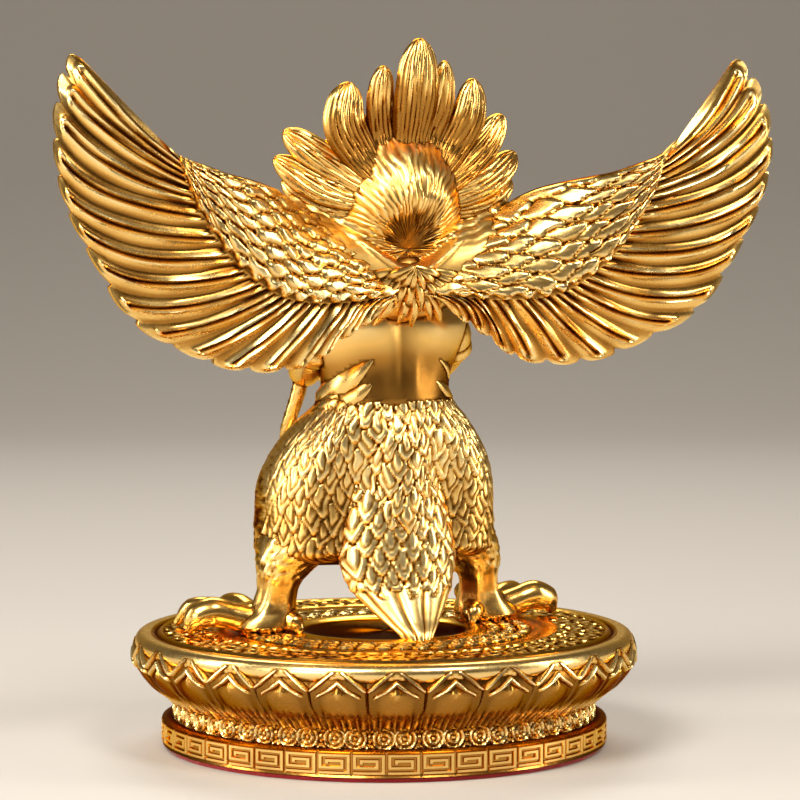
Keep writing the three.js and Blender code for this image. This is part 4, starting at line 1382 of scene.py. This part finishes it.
    def plate(self) -> Shell:
        """The plate: rim groove, carved ring, smooth ring, ring of beads, raised ring, polished disc.

        Returns:
            The closed skin.
        """
        radius = np.concatenate([
            [59.6], np.linspace(59.2, 56, 9), np.linspace(55.6, 43.4, 26), np.linspace(42.6, 38, 4),
            np.linspace(37.6, 25.4, 27), np.linspace(25, 20, 9), [18, 10, 2],
        ])[:, None] * (self.bowl_radius / 64.6)
        angle = circle(360)
        rims = ((57.4, 0.7, -0.6), (56.2, 0.4, 0.3), (43.6, 0.4, 0.3), (37.9, 0.4, 0.25), (23, 1.6, 0.5))
        level = sum(height * bump(radius, middle, wide) for middle, wide, height in rims)
        level = level - 0.5 * ease(21.2, 20.4, radius)
        level = level - 0.35 * between(43.4, 44, 55.4, 56, radius)
        level = level - 0.3 * between(25.3, 25.8, 37.2, 37.7, radius)
        on_scrolls, on_beads = between(43.4, 44, 55.2, 55.8, radius), between(25.4, 26, 37, 37.6, radius)
        scroll = self.scroll_style.carve(42 * angle / TURN, (radius - 43.6) / 4.1) * on_scrolls
        beads = self.beads(angle, radius) * on_beads
        spokes = 0.03 * np.cos(90 * angle) * ease(20, 18, radius)
        lift = 0.6 * scroll + 0.7 * beads + spokes + level
        carved = on_scrolls + on_beads
        # painted shade on the carved ground and painted highlight on the scrolls and beads
        tone = 0.55 * (1 - carved) + (0.08 + 0.85 * ease(0.4, 0.75, scroll + beads)) * carved
        # painted dark reflection on the polished disc, painted shade in the rim groove, and darker in
        # the middle of the smooth ring
        shade = 0.85 * ease(20.6, 20.2, radius) + 0.6 * bump(radius, 57.4, 0.8)
        tone = tone * (1 - shade - 0.45 * bump(radius, 40.6, 2.2) ** 4)
        return self.closed_below(Shell(around_axis(radius, angle, self.top + lift), tone, 0.5))

    def beads(self, angle: Array, radius: Array) -> Array:
        """Rings of oval beads, each a flat dome with a round rim, which falls to 0 at its edge.

        Args:
            angle: angles around the axis.
            radius: distances from it.

        Returns:
            The heights, from 0 to 1.
        """
        height = 0 * angle + 0 * radius
        for middle, count in self.bead_rings:
            around = count * angle / TURN
            side = 2 * np.abs(around - np.round(around))
            edge = np.sqrt(side**2 + ((radius - middle) / 1.75) ** 2)
            height = height + (0.55 + 0.45 * bump(edge, 0.65, 0.2)) * (1 - ease(0.82, 1.0, edge))
        return height

    def closed_below(self, shell: Shell) -> Shell:
        """The plate's skin with two rings added under it, so that it is a closed disc.

        Args:
            shell: the skin from the outer edge to the middle.

        Returns:
            The closed skin.
        """
        under = shell.rings[[-1, 0]] * np.array([1, 1, 0]) + np.array([0, 0, self.top - 3.0])
        rings = np.concatenate([under, shell.rings])
        tone = np.concatenate([np.full((2, rings.shape[1]), 0.5), shell.tone])
        return Shell(rings, tone, shell.gloss)

    def shells(self) -> list[Shell]:
        """All skins of the plinth."""
        return [self.foot(), self.band(), self.bowl(), self.lip(), self.plate()]


class Paint:
    """A new material, with short ways to add nodes to it and to join them."""

    def __init__(self, name: str) -> None:
        """Starts the material.

        Args:
            name: its name.
        """
        self.material = bpy.data.materials.new(name)
        self.material.use_nodes = True
        self.tree = self.material.node_tree
        self.shader = self.tree.nodes["Principled BSDF"]

    def feed(self, node: bpy.types.Node, inputs: Inputs) -> bpy.types.Node:
        """Fills a node's inputs: another node's socket is linked, and a value is typed in.

        Args:
            node: the node.
            inputs: sockets and values by the input's name or number.

        Returns:
            The node.
        """
        for key, value in inputs.items():
            if isinstance(value, bpy.types.NodeSocket):
                self.tree.links.new(value, node.inputs[key])
            else:
                node.inputs[key].default_value = value
        return node

    def add(self, kind: str, inputs: Inputs) -> bpy.types.Node:
        """Adds a node of a kind and fills its inputs."""
        return self.feed(self.tree.nodes.new("ShaderNode" + kind), inputs)

    def attribute(self, name: str) -> bpy.types.NodeSocket:
        """The mesh's attribute of this name."""
        node = self.add("Attribute", {})
        node.attribute_name = name
        return node.outputs["Fac"]

    def spread(self, value: bpy.types.NodeSocket, low: float, high: float) -> bpy.types.NodeSocket:
        """A value from 0 to 1, spread from low to high."""
        return self.add("MapRange", {"Value": value, "To Min": low, "To Max": high}).outputs["Result"]

    def noise(self, scale: float, detail: float) -> bpy.types.NodeSocket:
        """Noise fixed to the piece."""
        place = self.add("TexCoord", {}).outputs["Object"]
        return self.add("TexNoise", {"Vector": place, "Scale": scale, "Detail": detail}).outputs["Fac"]

    def ramp(
        self, value: bpy.types.NodeSocket, stops: tuple[tuple[float, Place], ...],
    ) -> bpy.types.NodeSocket:
        """A colour ramp.

        Args:
            value: where to read it.
            stops: places and colours, the first and the last of which it already has.

        Returns:
            The colour.
        """
        node = self.add("ValToRGB", {"Fac": value})
        elements = node.color_ramp.elements
        elements[0].position, elements[1].position = stops[0][0], stops[-1][0]
        for place, _ in stops[1:-1]:
            elements.new(place)
        for element, (_, colour) in zip(elements, stops):
            element.color = (*colour, 1.0)
        return node.outputs["Color"]

    def bumps(self, height: bpy.types.NodeSocket, strength: float, distance: float) -> None:
        """Roughens the shader's surface by a height of up to a distance in metres."""
        inputs = {"Height": height, "Strength": strength, "Distance": distance}
        self.feed(self.shader, {"Normal": self.add("Bump", inputs).outputs["Normal"]})


@dataclass(frozen=True)
class GoldPlate:
    """Gold plating on cast metal.

    The colour runs from brown in hollows (tone 0) to pale gold on crests (tone 1): painted shade
    and painted highlight. The roughness runs from satin (gloss 0) to a mirror (gloss 1), give or
    take the grain.
    """

    name: str = "gold plate"
    stops: tuple[tuple[float, Place], ...] = (
        (0.0, (0.10, 0.035, 0.004)), (0.3, (0.52, 0.25, 0.045)), (0.55, (0.95, 0.60, 0.17)),
        (0.9, (1.0, 0.78, 0.36)),
    )
    satin: float = 0.36
    mirror: float = 0.07
    grain: float = 0.05
    grain_scale: float = 420.0

    def material(self) -> bpy.types.Material:
        """Builds the material.

        Returns:
            The finished material.
        """
        paint = Paint(self.name)
        # painted shade and highlight of the tone become brown to pale gold
        colour = paint.ramp(paint.attribute("tone"), self.stops)
        noise = paint.noise(self.grain_scale, 3.0)
        rough = paint.spread(paint.attribute("gloss"), self.satin, self.mirror)
        total = paint.add("Math", {0: rough, 1: paint.spread(noise, -self.grain, self.grain)})
        total.operation = "ADD"
        paint.feed(paint.shader, {
            "Metallic": 1.0, "Base Color": colour, "Specular Tint": colour,
            "Roughness": total.outputs["Value"],
        })
        paint.bumps(noise, 0.12, 0.0004)
        return paint.material


@dataclass(frozen=True)
class Felt:
    """Red felt: rough, with a fine nap and a soft sheen."""

    name: str = "red felt"
    stops: tuple[tuple[float, Place], ...] = ((0.0, (0.33, 0.008, 0.015)), (1.0, (0.5, 0.03, 0.035)))
    nap_scale: float = 1500.0

    def material(self) -> bpy.types.Material:
        """Builds the material.

        Returns:
            The finished material.
        """
        paint = Paint(self.name)
        nap = paint.noise(self.nap_scale, 4.0)
        colour = paint.ramp(nap, self.stops)
        paint.feed(paint.shader, {"Roughness": 0.95, "Sheen Weight": 0.5, "Base Color": colour})
        paint.bumps(nap, 0.5, 0.0003)
        return paint.material


def smooth_shaded(mesh: bpy.types.Mesh) -> None:
    """Shades all the faces of a mesh smoothly."""
    mesh.polygons.foreach_set("use_smooth", np.ones(len(mesh.polygons), bool))


def fused(name: str, shells: list[Shell], scale: float, base: float, sharp: float) -> bpy.types.Object:
    """One mesh from closed skins: their union, with everything inside it gone.

    Each skin becomes a mesh with its tones and glosses at the points. A union of them all is
    read out as a new mesh. The points that it makes where skins meet have tone 0, painted shade
    in the creases between skins, and edges between two of them are sharp, like edges between
    faces that meet at more than an angle.

    Args:
        name: name of the mesh.
        shells: the skins, in millimetres.
        scale: metres for each millimetre.
        base: level of the drawing's zero in metres.
        sharp: the angle, in degrees.

    Returns:
        The new object, linked to the scene.
    """
    scene = bpy.context.scene
    others = bpy.data.collections.new(name + " skins")
    made = []
    for number, shell in enumerate(shells):
        points, faces = shell.corners()
        mesh = bpy.data.meshes.new(f"{name} skin {number}")
        mesh.from_pydata(points * scale + np.array([0, 0, base]), [], faces)
        for key, values in (("tone", shell.tone), ("gloss", shell.gloss)):
            attribute = mesh.attributes.new(key, "FLOAT", "POINT")
            attribute.data.foreach_set("value", shell.spread(values))
        made.append(bpy.data.objects.new(mesh.name, mesh))
    scene.collection.objects.link(made[0])
    for skin in made[1:]:
        others.objects.link(skin)
    union = made[0].modifiers.new("union", "BOOLEAN")
    union.operation = "UNION"
    union.solver = "MANIFOLD"
    union.operand_type = "COLLECTION"
    union.collection = others
    graph = bpy.context.evaluated_depsgraph_get()
    mesh = bpy.data.meshes.new_from_object(made[0].evaluated_get(graph))
    mesh.name = name
    for skin in made:
        old = skin.data
        bpy.data.objects.remove(skin)
        bpy.data.meshes.remove(old)
    bpy.data.collections.remove(others)
    smooth_shaded(mesh)
    mesh.set_sharp_from_angle(angle=np.radians(sharp))
    # tone 0 at the points where skins meet is painted shade in the creases
    tone = np.zeros(len(mesh.vertices), np.float32)
    mesh.attributes["tone"].data.foreach_get("value", tone)
    ends = np.zeros(2 * len(mesh.edges), np.int32)
    mesh.edges.foreach_get("vertices", ends)
    flags = np.zeros(len(mesh.edges), bool)
    mesh.attributes["sharp_edge"].data.foreach_get("value", flags)
    seam = (tone[ends.reshape(-1, 2)] == 0).all(axis=1)
    mesh.attributes["sharp_edge"].data.foreach_set("value", flags | seam)
    piece = bpy.data.objects.new(name, mesh)
    scene.collection.objects.link(piece)
    return piece


@dataclass
class Studio:
    """Pale floor with a curved backdrop, soft lights and the camera of the photo.

    Places are metres; the camera looks from behind the figure, a little to its left.
    """

    aim: Place = (-0.0037, 0.0015, 0.087)
    distance: float = 0.9
    azimuth: float = 22.0
    camera_height: float = 0.156
    lens: float = 162.0
    floor_colour: Place = (0.62, 0.58, 0.53)
    world_colour: Place = (0.085, 0.064, 0.044)
    lights: tuple[tuple[str, float, float, float, tuple[float, float], float, Place], ...] = (
        ("key", 50, 0.8, 0.8, (0.45, 0.35), 9, (1, 0.97, 0.92)),
        ("fill", -10, 0.9, 0.75, (0.35, 0.3), 5, (1, 0.97, 0.92)),
        ("left strip", 105, 0.35, 0.9, (0.14, 0.7), 4, (1, 0.95, 0.88)),
        ("right strip", -62, 0.3, 0.9, (0.14, 0.7), 4, (1, 0.95, 0.88)),
        ("low", 60, 0.3, 1.1, (0.6, 0.4), 4, (1, 0.96, 0.9)),
        ("rim", 200, 0.8, 0.7, (0.6, 0.3), 4, (1, 0.97, 0.92)),
    )

    def floor(self) -> bpy.types.Object:
        """The floor, which curves up far in front of the figure, as a strip along a profile.

        The profile runs level, then along a quarter of a circle of 1 m, then straight up, and
        the strip is turned to face the camera.

        Returns:
            The floor, linked to the scene.
        """
        turn, half = np.linspace(0, np.pi / 2, 16), 4.0
        run = np.concatenate([[3.0, 1.0], -0.9 - 1.0 * np.sin(turn), [-1.9]])[:, None]
        rise = np.concatenate([[0, 0], 1.0 - 1.0 * np.cos(turn), [3.5]])[:, None]
        yaw = np.radians(-self.azimuth)
        x = np.array([[-half, half]]) + 0 * run
        y = run + 0 * x
        level_x, level_y = x * np.cos(yaw) - y * np.sin(yaw), x * np.sin(yaw) + y * np.cos(yaw)
        points = np.stack([level_x, level_y, rise + 0 * x], axis=-1)
        i = np.arange(len(run) - 1)
        faces = np.stack([2 * i, 2 * i + 1, 2 * i + 3, 2 * i + 2], axis=-1)
        mesh = bpy.data.meshes.new("floor")
        mesh.from_pydata(points.reshape(-1, 3), [], faces.tolist())
        smooth_shaded(mesh)
        paint = Paint("pale floor")
        paint.feed(paint.shader, {"Base Color": (*self.floor_colour, 1), "Roughness": 0.6})
        mesh.materials.append(paint.material)
        floor = bpy.data.objects.new("floor", mesh)
        bpy.context.scene.collection.objects.link(floor)
        return floor

    def stand(self, thing: bpy.types.Object, azimuth: float, distance: float, height: float) -> None:
        """Puts a light or camera beside the figure, turned to look at the aim, and links it.

        Args:
            thing: the light or camera.
            azimuth: degrees from the figure's back, positive to its left.
            distance: its distance from the axis.
            height: its height.
        """
        turn = np.radians(azimuth)
        thing.location = (distance * np.sin(turn), distance * np.cos(turn), height)
        way = Vector(self.aim) - thing.location
        thing.rotation_euler = way.to_track_quat("-Z", "Y").to_euler()
        bpy.context.scene.collection.objects.link(thing)

    def light(
        self, name: str, azimuth: float, height: float, distance: float, size: tuple[float, float],
        power: float, colour: Place,
    ) -> None:
        """An area light that looks at the figure.

        Args:
            name: its name.
            azimuth: degrees from the figure's back, positive to its left.
            height: its height.
            distance: its distance from the axis.
            size: its width and height.
            power: its power in watts.
            colour: its colour.
        """
        data = bpy.data.lights.new(name, "AREA")
        data.shape = "RECTANGLE"
        data.size, data.size_y = size
        data.energy = power
        data.color = colour
        lamp = bpy.data.objects.new(name, data)
        self.stand(lamp, azimuth, distance, height)

    def build(self) -> None:
        """Builds floor, lights, world and camera."""
        scene = bpy.context.scene
        self.floor()
        for row in self.lights:
            self.light(*row)
        world = bpy.data.worlds.new("studio")
        world.use_nodes = True
        world.node_tree.nodes["Background"].inputs["Color"].default_value = (*self.world_colour, 1)
        scene.world = world
        data = bpy.data.cameras.new("photo camera")
        data.lens = self.lens
        data.clip_start = 0.05
        camera = bpy.data.objects.new("photo camera", data)
        self.stand(camera, self.azimuth, self.distance, self.camera_height)
        scene.camera = camera
        scene.view_settings.view_transform = "Standard"
        scene.view_settings.look = "None"


def main() -> None:
    """Builds every piece in order and reports it."""
    logging.basicConfig(level=logging.INFO, format="%(message)s")
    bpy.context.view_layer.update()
    gold = GoldPlate().material()
    low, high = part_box("garuda_figure")
    scale = (high.z - low.z) / DRAWN_HEIGHT
    beans = ScaleStyle(
        length=1.45, power=2.6, shoulder=0.55, tilt=0.5, rim=0.0, core=0.4, core_width=0.74,
        uneven=0.4, groove=0.2,
    )
    left = Wing(side=Side.LEFT, covert_rows=7.5, covert_count=13.5, covert_style=beans)
    right = Wing(side=Side.RIGHT, lumps=True)
    shells = [*Body().shells(), *Mane().shells(), left.shell(), right.shell(), *Limbs().shells()]
    points = sum(shell.rings[..., 0].size for shell in shells)
    log.info("garuda: %d skins, %d points", len(shells), points)
    figure = fused("garuda", shells, scale, low.z, sharp=50)
    foot_low, foot_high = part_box("lotus_plinth")
    plinth = Plinth(bowl_radius=1000 * foot_high.x, top=1000 * foot_high.z, bottom=1000 * foot_low.z)
    base = fused("plinth", plinth.shells(), scale=0.001, base=0.0, sharp=40)
    rows = ((figure, "garuda_figure", "gold_figure"), (base, "lotus_plinth", "gold_plinth"))
    for piece, node, slot in rows:
        piece.data.materials.clear()
        piece.data.materials.append(gold)
        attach(piece, "root")
        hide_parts(node)
        triangles = sum(len(p.vertices) - 2 for p in piece.data.polygons)
        log.info("%s: %d triangles", piece.name, triangles)
    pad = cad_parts["felt_pad"]
    felt = Felt().material()
    for slot in pad.material_slots:
        slot.material = felt
    log.info("felt pad: red felt")
    Studio().build()


if __name__ == "__main__":
    main()
